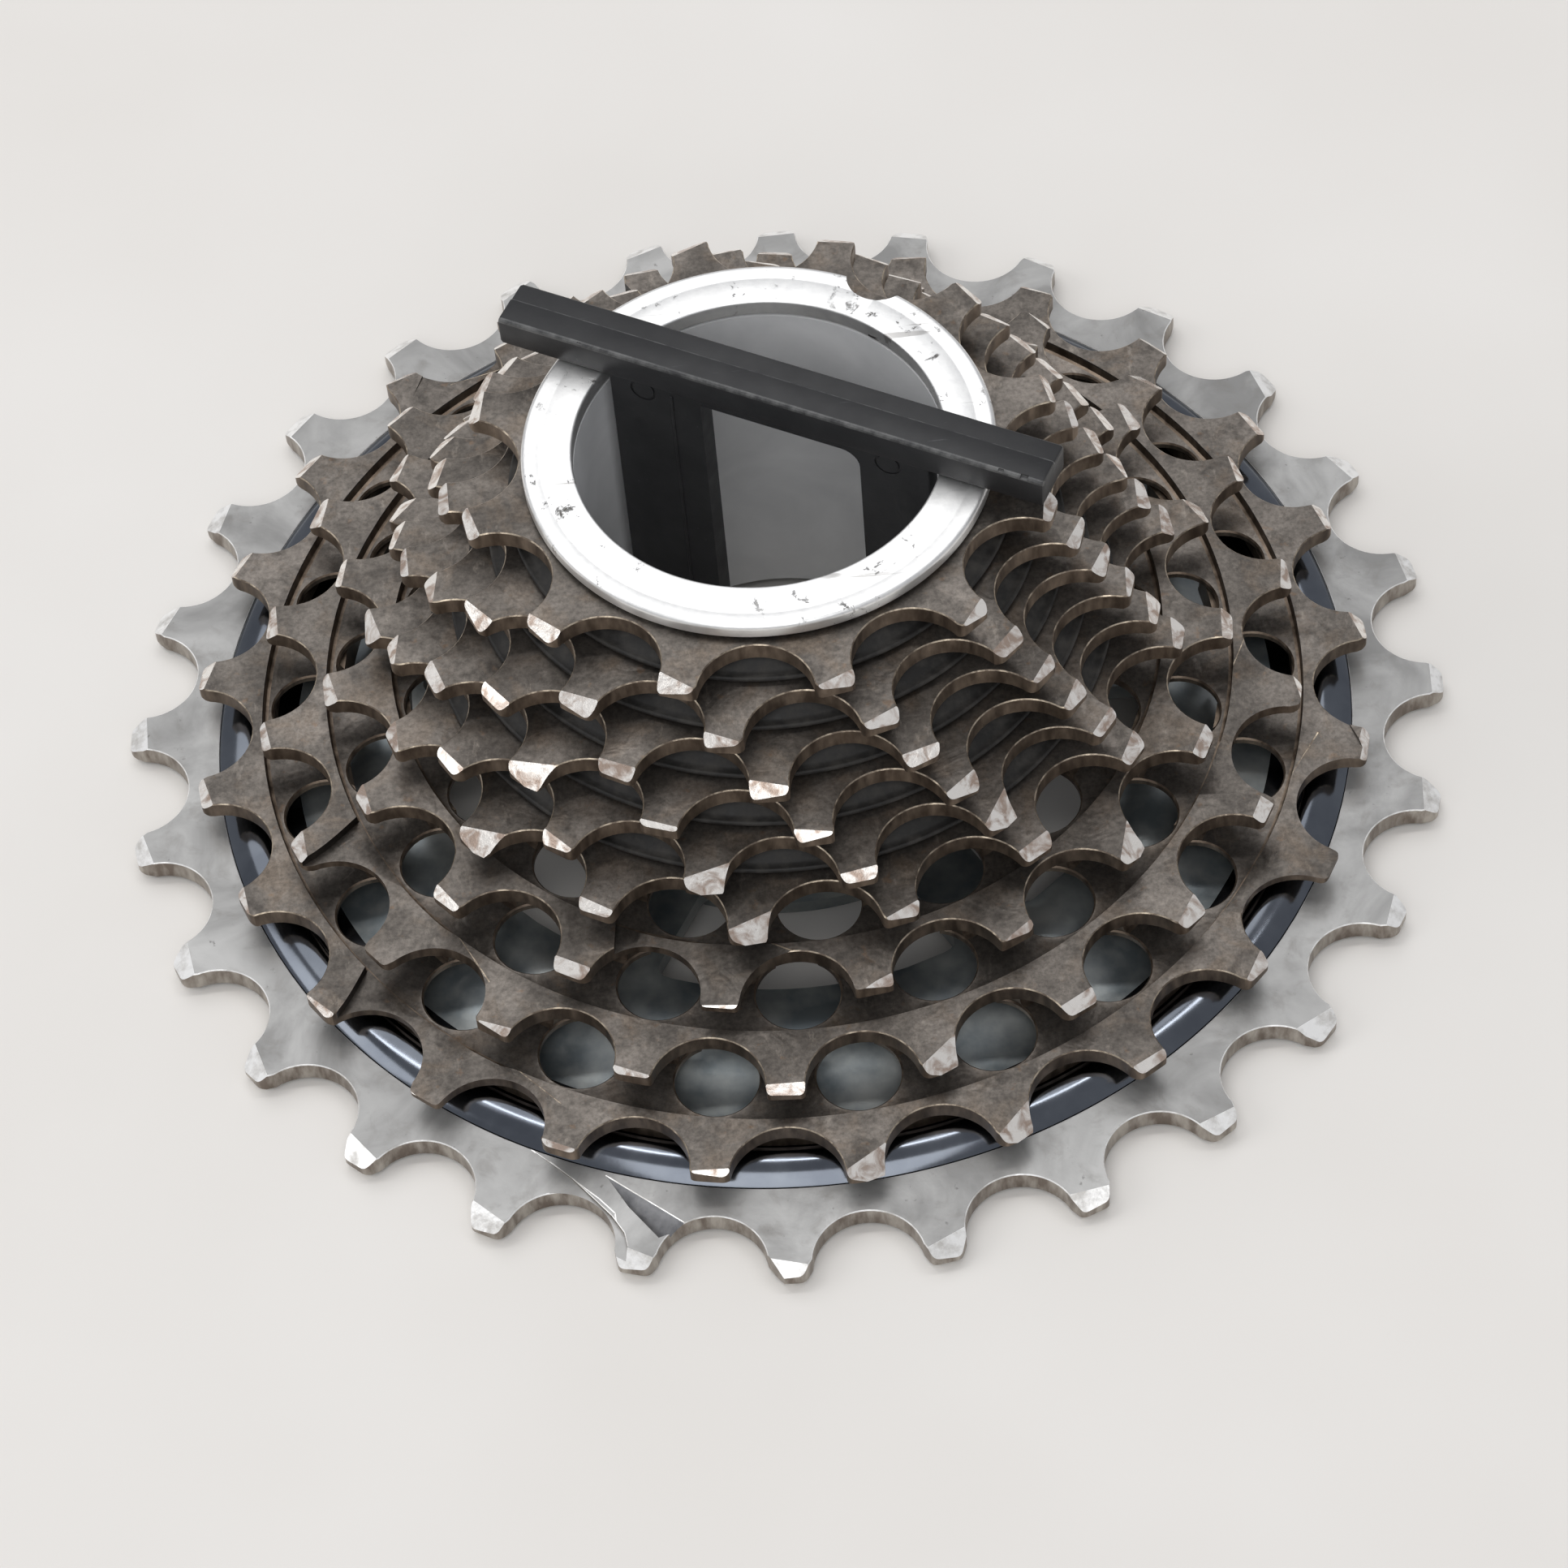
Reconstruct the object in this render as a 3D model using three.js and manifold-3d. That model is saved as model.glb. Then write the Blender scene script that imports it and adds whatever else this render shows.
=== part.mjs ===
// A worn eleven-speed bicycle cassette without its 11-tooth sprocket: ten sprockets from 12 to 28
// teeth on an aluminium carrier, rubber rings between the small ones, a flanged lock sleeve in the
// bore, and the black plastic retainer that keeps the stack together off the wheel.
//
// Millimetres. The axis is Z, and +Z points to the small end. The origin is on the axis, in the
// plane of the carrier's seat face, which the cassette also rests on.

import * as THREE from 'three';
import { mergeVertices } from 'three/addons/utils/BufferGeometryUtils.js';
import Module from 'manifold-3d';

const wasm = await Module();
wasm.setup();

// ---------------------------------------------------------------- driving dimensions

const CHAIN_PITCH = 12.7;
const SPROCKET_STEP = 3.74;
const DISC_THICKNESS = 1.7;
const GAP = 0.3;
const CUT_MARGIN = 1.0;
const MERGE_TOLERANCE = 1e-4;

const RING_STEPS = 36;
const SLEEVE_STEPS = 40;
const FLANGE_STEPS = 48;
const NOTCH_STEPS = 16;
const WEB_HOLE_STEPS = 8;
const WINDOW_ARC_STEPS = 6;
const CORNER_STEPS = 4;

const GULLET_RADIUS = 4.75;
const GULLET_HALF_SWEEP = 80;
const GULLET_STEPS = 5;
const TIP_RISE = 0.35;
const TIP_HALF_WIDTH = 1.3;
const TIP_BEVEL_RUN = 1.1;
const TIP_BEVEL_DROP = 0.9;

// Teeth, and the azimuth in degrees of one gullet, from the large end to the small end.
const SPROCKETS = [
  { teeth: 28, clocking: 2.7 },
  { teeth: 25, clocking: 7.1 },
  { teeth: 22, clocking: -3.5 },
  { teeth: 19, clocking: 3.1 },
  { teeth: 17, clocking: -2.5 },
  { teeth: 16, clocking: -2.7 },
  { teeth: 15, clocking: -3.1 },
  { teeth: 14, clocking: -3.5 },
  { teeth: 13, clocking: -4.0 },
  { teeth: 12, clocking: -4.9 },
];
const FIRST_STACKED = 4;
const LAST = SPROCKETS.length - 1;

const LARGE_TOP = 2.4;
const LARGE_THICKNESS = 2.0;
const LARGE_BORE = 49.6;
const LARGE_GULLET_RADIUS = 4.6;
const LARGE_TIP_RISE = 0.75;

const SLEEVE_BORE = 15.2;
const SLEEVE_WALL = 1.1;
const SLEEVE_FOOT = 1.0;
const STACK_BORE = SLEEVE_BORE + SLEEVE_WALL + GAP;
const FLANGE_RADIUS = 19.4;
const FLANGE_THICKNESS = 1.4;
const FLANGE_BEVEL = 0.35;
const NOTCH_RADIUS = 2.2;
const NOTCH_AZIMUTH = 56;

const DAMPER_CLEARANCE = 0.4;
const DAMPER_BORE = STACK_BORE + DAMPER_CLEARANCE;
const DAMPER_BEAD = 0.5;
const DAMPER_BEAD_TAPER = 0.1;
const DAMPER_SHELF = 0.6;
const DAMPER_WAIST = 1.7;

const LAND_INSET = 0.85;
const WEB_RECESS = 0.95;
const WEB_OVERLAP = 0.25;
const WEB_HOLE_RADIUS = 3.5;
const WEB_HOLE_MARGIN = 0.75;
const PILLAR_INSIDE_LAND = 1.2;
const PILLAR_OUTSIDE_LAND = 0.3;

const RIM_RADIUS = 49.3;
const RIM_TOP = 3.4;
const RIM_SHOULDER = 47.1;
const RIM_EDGE_DROP = 0.1;
const RIM_CHAMFER_RUN = 0.6;
const RIM_CHAMFER_DROP = 0.5;
const RIM_INNER = 45.9;
const RIM_BOTTOM = 0.4;
const FOOT_INNER = 44.3;
const FOOT_CLEARANCE = 0.1;
const DISH_OUTER = 42.0;
const DISH_INNER = 33.5;
const DISH_RISE = 2.5;
const FLOOR_TOP = 2.3;
const FLOOR_THICKNESS = 1.7;
const HUB_RADIUS = 20.6;
const HUB_TOP = 10.0;
const HUB_BEVEL = 1.0;
const BORE_STOCK = 1.0;
const ARM_COUNT = 6;
const ARM_HALF_WIDTH = 3.2;
const WINDOW_INNER = 21.6;
const WINDOW_OUTER = 31.5;
const SPLINE_COUNT = 9;
const SPLINE_DEPTH = 1.1;
const SPLINE_CLEARANCE = 0.2;
const SPLINE_LAND_SHARE = 0.28;
const SPLINE_FLANK_SHARE = 0.06;

const BAR_LENGTH = 48.6;
const BAR_WIDTH = 4.6;
const BAR_HEIGHT = 2.8;
const BAR_STEP_WIDTH = 2.0;
const BAR_STEP_DROP = 0.35;
const BAR_AZIMUTH = -28.5;
const BAR_OFFSET = 4.05;
const LEG_HALF_WIDTH = 14.3;
const LEG_THICKNESS = 1.9;
const LEG_FOOT = 2.0;
const LEG_WINDOW_LEFT = -6.0;
const LEG_WINDOW_RIGHT = 8.2;
const LEG_WINDOW_FOOT = 7.0;
const LEG_WINDOW_CORNER = 2.0;
const LEG_WINDOW_HEAD = 0.4;
const LEG_CHAMFER = 1.5;
const LEG_ROOT = 0.5;

// ---------------------------------------------------------------- materials

const STEEL = new THREE.MeshStandardMaterial({ color: 0x6d655d, roughness: 0.42, metalness: 1 });
const DARK_STEEL = new THREE.MeshStandardMaterial({ color: 0x5c544c, roughness: 0.5, metalness: 1 });
const ALUMINIUM = new THREE.MeshStandardMaterial({ color: 0xb9b9b8, roughness: 0.38, metalness: 1 });
const ANODISED = new THREE.MeshStandardMaterial({ color: 0x5b636e, roughness: 0.22, metalness: 1 });
const BRIGHT = new THREE.MeshStandardMaterial({ color: 0xe6e5e2, roughness: 0.3, metalness: 1 });
const SATIN = new THREE.MeshStandardMaterial({ color: 0xa7abae, roughness: 0.4, metalness: 1 });
const RUBBER = new THREE.MeshStandardMaterial({ color: 0x1b1a19, roughness: 0.8, metalness: 0 });
const PLASTIC = new THREE.MeshStandardMaterial({ color: 0x1d1e20, roughness: 0.45, metalness: 0 });

// ---------------------------------------------------------------- helpers

const radians = THREE.MathUtils.degToRad;

function toSolid(geometry) {
  const bare = geometry.index ? geometry.toNonIndexed() : geometry.clone();
  bare.deleteAttribute('normal');
  bare.deleteAttribute('uv');
  const merged = mergeVertices(bare, MERGE_TOLERANCE);
  const vertProperties = Float32Array.from(merged.attributes.position.array);
  const triVerts = Uint32Array.from(merged.index.array);
  return new wasm.Manifold(new wasm.Mesh({ numProp: 3, vertProperties, triVerts }));
}

function toGeometry(solid) {
  const mesh = solid.getMesh();
  const geometry = new THREE.BufferGeometry();
  geometry.setAttribute('position', new THREE.BufferAttribute(mesh.vertProperties, 3));
  geometry.setIndex(new THREE.BufferAttribute(mesh.triVerts, 1));
  geometry.computeVertexNormals();
  return geometry;
}

function polar(radius, angle) {
  return new THREE.Vector2(radius * Math.cos(angle), radius * Math.sin(angle));
}

function circle(radius, steps, centre = new THREE.Vector2()) {
  const points = [];
  for (let i = 0; i < steps; i += 1) {
    points.push(polar(radius, (i * 2 * Math.PI) / steps).add(centre));
  }
  return points;
}

// A flat piece between two heights, from an outline and any holes.
function slab(outline, holes, low, high) {
  const shape = new THREE.Shape(outline);
  shape.holes = holes.map((points) => new THREE.Path(points));
  const geometry = new THREE.ExtrudeGeometry(shape, { depth: high - low, bevelEnabled: false });
  geometry.translate(0, 0, low);
  return toSolid(geometry);
}

// A ring from a closed profile of [radius, height] pairs, listed counter-clockwise.
function turned(profile, steps) {
  const points = [...profile, profile[0]].map(([radius, height]) => new THREE.Vector2(radius, height));
  const geometry = new THREE.LatheGeometry(points, steps);
  geometry.rotateX(Math.PI / 2);
  return toSolid(geometry);
}

const cassette = new THREE.Group();

function addPiece(name, solid, material) {
  const mesh = new THREE.Mesh(toGeometry(solid), material);
  mesh.name = name;
  cassette.add(mesh);
  return mesh;
}

// ---------------------------------------------------------------- sprockets

function pitchRadius(teeth) {
  return CHAIN_PITCH / 2 / Math.sin(Math.PI / teeth);
}

function rootRadius(index) {
  return pitchRadius(SPROCKETS[index].teeth) - GULLET_RADIUS;
}

function topOf(index) {
  return LARGE_TOP + index * SPROCKET_STEP;
}

function bottomOf(index) {
  return topOf(index) - DISC_THICKNESS;
}

// Round gullets on the pitch circle, with a straight tip across each tooth between them.
function toothOutline({ teeth, clocking }, gulletRadius, tipRise) {
  const pitch = pitchRadius(teeth);
  const tip = pitch + tipRise;
  const tipAngle = Math.asin(TIP_HALF_WIDTH / tip);
  const sweep = radians(GULLET_HALF_SWEEP);
  const points = [];
  for (let i = 0; i < teeth; i += 1) {
    const gap = radians(clocking + (i * 360) / teeth);
    const centre = polar(pitch, gap);
    for (let j = 0; j <= GULLET_STEPS; j += 1) {
      const turn = sweep * (1 - (2 * j) / GULLET_STEPS);
      points.push(polar(gulletRadius, gap + Math.PI + turn).add(centre));
    }
    const tooth = gap + Math.PI / teeth;
    points.push(polar(tip, tooth - tipAngle));
    points.push(polar(tip, tooth + tipAngle));
  }
  return points;
}

// Trims every tooth tip to a flat slope that falls away from the top face.
function bevelTips(solid, { teeth, clocking }, tipRise, low, high) {
  const tip = pitchRadius(teeth) + tipRise;
  const flat = Math.cos(Math.PI / teeth);
  const slope = TIP_BEVEL_RUN / TIP_BEVEL_DROP;
  const topRadius = (tip * Math.cos(Math.asin(TIP_HALF_WIDTH / tip)) - TIP_BEVEL_RUN) / flat;
  const bottomRadius = topRadius + (slope * (high - low)) / flat;
  const cone = new THREE.CylinderGeometry(topRadius, bottomRadius, high - low, teeth);
  cone.rotateX(Math.PI / 2);
  cone.rotateZ(radians(clocking) - Math.PI / 2);
  cone.translate(0, 0, (low + high) / 2);
  return solid.intersect(toSolid(cone));
}

function toothedRing(index, bore, thickness, gulletRadius, tipRise) {
  const high = topOf(index);
  const low = high - thickness;
  const outline = toothOutline(SPROCKETS[index], gulletRadius, tipRise);
  const ring = slab(outline, [circle(bore, RING_STEPS)], low, high);
  return bevelTips(ring, SPROCKETS[index], tipRise, low, high);
}

// The dome step below a sprocket: a sunk web, and a wall that reaches up to the back face of the
// next smaller sprocket. A hole behind each of that sprocket's gullets cuts them into fingers and
// pillars, so one finger and one pillar stand under each of its teeth.
function domeStep(index) {
  const smaller = SPROCKETS[index + 1];
  const land = rootRadius(index) - LAND_INSET;
  const smallerLand = rootRadius(index + 1) - LAND_INSET;
  const low = bottomOf(index);
  const high = bottomOf(index + 1) - GAP;
  const bore = [circle(smallerLand - PILLAR_INSIDE_LAND, RING_STEPS)];
  const web = slab(circle(land + WEB_OVERLAP, RING_STEPS), bore, low, topOf(index) - WEB_RECESS);
  const wall = slab(circle(smallerLand + PILLAR_OUTSIDE_LAND, RING_STEPS), bore, low, high);
  const holeCentre = land - WEB_HOLE_MARGIN - WEB_HOLE_RADIUS;
  let step = web.add(wall);
  for (let i = 0; i < smaller.teeth; i += 1) {
    const azimuth = radians(smaller.clocking + (i * 360) / smaller.teeth);
    const hole = circle(WEB_HOLE_RADIUS, WEB_HOLE_STEPS, polar(holeCentre, azimuth));
    step = step.subtract(slab(hole, [], low - CUT_MARGIN, high + CUT_MARGIN));
  }
  return step;
}

function addSteelSprockets() {
  for (let index = 1; index <= LAST; index += 1) {
    const domed = index < FIRST_STACKED;
    const bore = domed ? rootRadius(index) - LAND_INSET : STACK_BORE;
    let solid = toothedRing(index, bore, DISC_THICKNESS, GULLET_RADIUS, TIP_RISE);
    if (domed) solid = solid.add(domeStep(index));
    addPiece(`sprocket_${SPROCKETS[index].teeth}t`, solid, STEEL);
  }
}

// The steel foot ring under the 25-tooth sprocket sits in the rebate of the carrier's rim.
function addFootRing() {
  const outline = circle(RIM_INNER - GAP - FOOT_CLEARANCE, RING_STEPS);
  const bore = circle(FOOT_INNER, RING_STEPS);
  addPiece('dome_foot_ring', slab(outline, [bore], FLOOR_TOP + GAP, bottomOf(1) - GAP), DARK_STEEL);
}

function addLargeSprocket() {
  const solid = toothedRing(0, LARGE_BORE, LARGE_THICKNESS, LARGE_GULLET_RADIUS, LARGE_TIP_RISE);
  addPiece('sprocket_28t', solid, ALUMINIUM);
}

// ---------------------------------------------------------------- rubber rings

// Each ring lies on a sprocket, waisted under the next one, with a bead around its foot.
function addDamperRings() {
  for (let index = FIRST_STACKED; index < LAST; index += 1) {
    const low = topOf(index) + GAP;
    const high = bottomOf(index + 1) - GAP;
    const bead = rootRadius(index) - LAND_INSET;
    const profile = [
      [DAMPER_BORE, low],
      [bead, low],
      [bead - DAMPER_BEAD_TAPER, low + DAMPER_BEAD],
      [bead - DAMPER_SHELF, low + DAMPER_BEAD],
      [bead - DAMPER_WAIST, high],
      [DAMPER_BORE, high],
    ];
    const name = `damper_${SPROCKETS[index + 1].teeth}_${SPROCKETS[index].teeth}`;
    addPiece(name, turned(profile, RING_STEPS), RUBBER);
  }
}

// ---------------------------------------------------------------- carrier

// Bore outline with teeth that key into the grooves of a hub's driver body.
function splineBore() {
  const minor = STACK_BORE + SPLINE_CLEARANCE;
  const major = minor + SPLINE_DEPTH;
  const grooveStart = SPLINE_LAND_SHARE + SPLINE_FLANK_SHARE;
  const grooveEnd = 1 - SPLINE_FLANK_SHARE;
  const corners = [
    [0, minor],
    [SPLINE_LAND_SHARE, minor],
    [grooveStart, major],
    [(grooveStart + grooveEnd) / 2, major],
    [grooveEnd, major],
  ];
  const points = [];
  for (let i = 0; i < SPLINE_COUNT; i += 1) {
    for (const [share, radius] of corners) {
      points.push(polar(radius, ((i + share) * 2 * Math.PI) / SPLINE_COUNT));
    }
  }
  return points;
}

// One opening between two arms: two arcs joined by edges parallel to the arms.
function windowOutline(middle) {
  const half = Math.PI / ARM_COUNT;
  const points = [];
  for (const [radius, direction] of [[WINDOW_OUTER, 1], [WINDOW_INNER, -1]]) {
    const reach = half - Math.asin(ARM_HALF_WIDTH / radius);
    for (let i = 0; i <= WINDOW_ARC_STEPS; i += 1) {
      const share = (2 * i) / WINDOW_ARC_STEPS - 1;
      points.push(polar(radius, middle + direction * reach * share));
    }
  }
  return points;
}

// A dished plate with a raised rim, drawn from its underside outward and back over the top.
function plateProfile() {
  const inner = STACK_BORE - BORE_STOCK;
  const floorBottom = FLOOR_TOP - FLOOR_THICKNESS;
  return [
    [inner, floorBottom + DISH_RISE],
    [DISH_INNER, floorBottom + DISH_RISE],
    [DISH_OUTER, floorBottom],
    [RIM_RADIUS, RIM_BOTTOM],
    [RIM_RADIUS, LARGE_TOP - RIM_EDGE_DROP],
    [RIM_SHOULDER + RIM_CHAMFER_RUN, RIM_TOP - RIM_CHAMFER_DROP],
    [RIM_SHOULDER, RIM_TOP],
    [RIM_INNER, RIM_TOP],
    [RIM_INNER, FLOOR_TOP],
    [DISH_OUTER, FLOOR_TOP],
    [DISH_INNER, FLOOR_TOP + DISH_RISE],
    [inner, FLOOR_TOP + DISH_RISE],
  ];
}

function hubProfile() {
  const inner = STACK_BORE - BORE_STOCK;
  return [
    [inner, 0],
    [HUB_RADIUS, 0],
    [HUB_RADIUS, HUB_TOP - HUB_BEVEL],
    [HUB_RADIUS - HUB_BEVEL, HUB_TOP],
    [inner, HUB_TOP],
  ];
}

function addCarrier() {
  const blank = turned(plateProfile(), RING_STEPS).add(turned(hubProfile(), RING_STEPS));
  let solid = blank.subtract(slab(splineBore(), [], -CUT_MARGIN, HUB_TOP + CUT_MARGIN));
  for (let i = 0; i < ARM_COUNT; i += 1) {
    const middle = ((i + 0.5) * 2 * Math.PI) / ARM_COUNT;
    solid = solid.subtract(slab(windowOutline(middle), [], -CUT_MARGIN, HUB_TOP));
  }
  addPiece('carrier', solid, ANODISED);
}

// ---------------------------------------------------------------- lock sleeve

function addLockSleeve() {
  const bottom = topOf(LAST) + GAP;
  const top = bottom + FLANGE_THICKNESS;
  const sleeve = turned(
    [
      [SLEEVE_BORE, SLEEVE_FOOT],
      [SLEEVE_BORE + SLEEVE_WALL, SLEEVE_FOOT],
      [SLEEVE_BORE + SLEEVE_WALL, bottom - GAP],
      [SLEEVE_BORE, bottom - GAP],
    ],
    SLEEVE_STEPS,
  );
  addPiece('lock_sleeve', sleeve, SATIN);

  const notchCentre = polar(FLANGE_RADIUS, radians(NOTCH_AZIMUTH));
  const flange = turned(
    [
      [SLEEVE_BORE, bottom],
      [FLANGE_RADIUS - FLANGE_BEVEL, bottom],
      [FLANGE_RADIUS, bottom + FLANGE_BEVEL],
      [FLANGE_RADIUS, top - FLANGE_BEVEL],
      [FLANGE_RADIUS - FLANGE_BEVEL, top],
      [SLEEVE_BORE, top],
    ],
    FLANGE_STEPS,
  );
  const notchOutline = circle(NOTCH_RADIUS, NOTCH_STEPS, notchCentre);
  const notch = slab(notchOutline, [], bottom - CUT_MARGIN, top + CUT_MARGIN);
  addPiece('end_flange', flange.subtract(notch), BRIGHT);
}

// ---------------------------------------------------------------- retainer

// The retainer is a flat T: a bar across the flange and a windowed leg down the bore. Its outlines
// are drawn lying down, with x along the bar, and stood up afterwards.
function legOutline(barBottom) {
  const foot = LEG_FOOT;
  return [
    new THREE.Vector2(-LEG_HALF_WIDTH, barBottom + LEG_ROOT),
    new THREE.Vector2(-LEG_HALF_WIDTH, foot + LEG_CHAMFER),
    new THREE.Vector2(-LEG_HALF_WIDTH + LEG_CHAMFER, foot),
    new THREE.Vector2(LEG_HALF_WIDTH - LEG_CHAMFER, foot),
    new THREE.Vector2(LEG_HALF_WIDTH, foot + LEG_CHAMFER),
    new THREE.Vector2(LEG_HALF_WIDTH, barBottom + LEG_ROOT),
  ];
}

function legWindow(top) {
  const window = new THREE.Shape();
  const corner = LEG_WINDOW_CORNER;
  window.moveTo(LEG_WINDOW_LEFT, top);
  window.lineTo(LEG_WINDOW_LEFT, LEG_WINDOW_FOOT + corner);
  window.absarc(LEG_WINDOW_LEFT + corner, LEG_WINDOW_FOOT + corner, corner, Math.PI, 1.5 * Math.PI);
  window.lineTo(LEG_WINDOW_RIGHT - corner, LEG_WINDOW_FOOT);
  window.absarc(LEG_WINDOW_RIGHT - corner, LEG_WINDOW_FOOT + corner, corner, 1.5 * Math.PI, 2 * Math.PI);
  window.absarc(LEG_WINDOW_RIGHT - corner, top - corner, corner, 0, 0.5 * Math.PI);
  window.lineTo(LEG_WINDOW_LEFT, top);
  return window.getPoints(CORNER_STEPS);
}

function addRetainer() {
  const low = topOf(LAST) + GAP + FLANGE_THICKNESS + GAP;
  const high = low + BAR_HEIGHT;
  const half = BAR_LENGTH / 2;
  const front = BAR_OFFSET - BAR_WIDTH / 2;
  const back = BAR_OFFSET + BAR_WIDTH / 2;
  const section = [
    new THREE.Vector2(front, low),
    new THREE.Vector2(back, low),
    new THREE.Vector2(back, high - BAR_STEP_DROP),
    new THREE.Vector2(back - BAR_STEP_WIDTH, high - BAR_STEP_DROP),
    new THREE.Vector2(back - BAR_STEP_WIDTH, high),
    new THREE.Vector2(front, high),
  ];
  const barOptions = { depth: BAR_LENGTH, bevelEnabled: false };
  const barShape = new THREE.ExtrudeGeometry(new THREE.Shape(section), barOptions);
  barShape.rotateX(Math.PI / 2);
  barShape.rotateZ(Math.PI / 2);
  barShape.translate(-half, 0, 0);

  const leg = new THREE.Shape(legOutline(low));
  leg.holes = [new THREE.Path(legWindow(low - LEG_WINDOW_HEAD))];
  const legShape = new THREE.ExtrudeGeometry(leg, { depth: LEG_THICKNESS, bevelEnabled: false });
  legShape.rotateX(Math.PI / 2);
  legShape.translate(0, front + LEG_THICKNESS, 0);

  const solid = toSolid(barShape).add(toSolid(legShape));
  const mesh = addPiece('retainer', solid, PLASTIC);
  mesh.rotation.z = radians(BAR_AZIMUTH);
}

// ---------------------------------------------------------------- assembly

addLargeSprocket();
addCarrier();
addFootRing();
addSteelSprockets();
addDamperRings();
addLockSleeve();
addRetainer();

export default cassette;
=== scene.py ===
"""A worn eleven-speed bicycle cassette without its 11-tooth sprocket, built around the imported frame.

Shapes are worked out in millimetres in the frame's axes (+Z to the small end), and every piece is
scaled to metres when it is done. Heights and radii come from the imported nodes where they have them.
"""

import math
import random

import bmesh
import bpy
import numpy as np
from mathutils import Matrix, Vector


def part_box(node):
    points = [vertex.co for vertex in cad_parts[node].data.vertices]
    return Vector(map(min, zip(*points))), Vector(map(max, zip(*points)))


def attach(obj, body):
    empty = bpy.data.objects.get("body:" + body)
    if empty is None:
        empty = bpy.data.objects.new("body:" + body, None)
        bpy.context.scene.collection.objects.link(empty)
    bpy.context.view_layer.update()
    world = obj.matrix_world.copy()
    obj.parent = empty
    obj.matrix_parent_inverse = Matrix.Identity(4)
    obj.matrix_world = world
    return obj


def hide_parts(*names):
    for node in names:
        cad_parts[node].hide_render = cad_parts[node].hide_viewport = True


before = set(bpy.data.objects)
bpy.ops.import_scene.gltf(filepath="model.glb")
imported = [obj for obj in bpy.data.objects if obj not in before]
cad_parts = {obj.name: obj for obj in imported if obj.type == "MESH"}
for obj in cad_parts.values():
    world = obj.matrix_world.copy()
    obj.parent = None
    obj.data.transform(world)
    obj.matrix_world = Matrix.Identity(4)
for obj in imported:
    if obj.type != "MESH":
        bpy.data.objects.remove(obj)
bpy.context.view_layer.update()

MM = 0.001

# ------------------------------------------------------------------ driving dimensions, millimetres

CHAIN_PITCH = 12.7
DISC_THICKNESS = 1.7
LARGE_THICKNESS = 2.0

# Teeth from the large end to the small end, with the azimuth in degrees of one gullet.
TEETH = [28, 25, 22, 19, 17, 16, 15, 14, 13, 12]
CLOCKING = [2.7, 7.1, -3.5, 3.1, -2.5, -2.7, -3.1, -3.5, -4.0, -4.9]
FIRST_STACKED = 4

GULLET_RADIUS = 4.75
LARGE_GULLET_RADIUS = 4.6
GULLET_HALF_SWEEP = math.radians(80)
GULLET_STEPS = 26
TIP_RISE = 0.35
LARGE_TIP_RISE = 0.75
TIP_HALF_WIDTH = 1.4
TIP_CORNER = 0.45
MOST_OF_SIDE = 0.7
EDGE_CHAMFER = 0.09
LAND_INSET = 0.85
WEB_RECESS = 0.95
WEB_FILLET = 0.35
WEB_HOLE_RADIUS = 3.5
WEB_HOLE_MARGIN = 0.75
HOLE_CHAMFER = 0.14
PILLAR_INSIDE_LAND = 1.2
PILLAR_OUTSIDE_LAND = 0.3
FOOT_INNER = 44.3
LARGE_BORE = 49.36
LARGE_TIP_HALF_WIDTH = 1.2

# Azimuths in degrees of the teeth that are cut short for shifting, and of those with a long facet.
SHORT_TEETH = {
    15: [-111],
    19: [-82, -63, 107, 126],
    22: [-127, -110, 70, 53],
    25: [-158, -144, -116, -102, 58, 44],
}
LONG_FACETS = {17: [-99, -141], 16: [-106, -60], 15: [-141], 22: [-78], 25: [-87, -73], 19: [-44]}
SHORTENING = 0.5
SHORT_TOOTH_RUN = 0.4
LONG_FACET_RUN = 1.5
LONG_FACET_SKEW = -0.58
LARGE_FACET_EXTRA_RUN = 0.5
LARGE_FACET_LESS_SLOPE = 0.15
FACET_REACH = CHAIN_PITCH / 2 * 0.52
FACET_BACK = 0.3
UNDER_FACET_RUN = 0.7
UNDER_FACET_SLOPE = 0.55

# Shift pockets: azimuth of the steep edge, then of the ramp line at the land and at the gullets.
POCKETS = {
    19: [(-118, -97, -90), (62, 83, 90)],
    22: [(-160.5, -140, -131), (-30, -12, -3), (80, 98, 107)],
    25: [(-145, -126, -117), (-40, -23, -14), (100, 117, 126)],
}
POCKET_DEPTH = 0.9
POCKET_BELOW_LAND = 0.6
POCKET_WALL_BOW = 4.5
POCKET_WALL_LEAN = 1.5
POCKET_OVERRUN = 1.35
RAMP_PAST_ROOT = 0.6
RAMP_LENGTH = 7.5
HAIRLINE = 0.11
HAIRLINE_DEPTH = 0.02

# A cut that starts level with a face stops this far short of it, so that the two never coincide.
SKIM = 0.0001

SLEEVE_GAP = 0.3
SLEEVE_WALL = 1.1
BORE_CHAMFER = 0.2
LAND_WALL_INSET = 0.05
LAND_BREAK = 0.12
PILLAR_FILLET = 0.5

DAMPER_BORE_GAP = 0.7
DAMPER_BEAD = 0.24
DAMPER_FLANK_FOOT = (0.62, 0.46)
DAMPER_HOLLOW = 1.05

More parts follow.
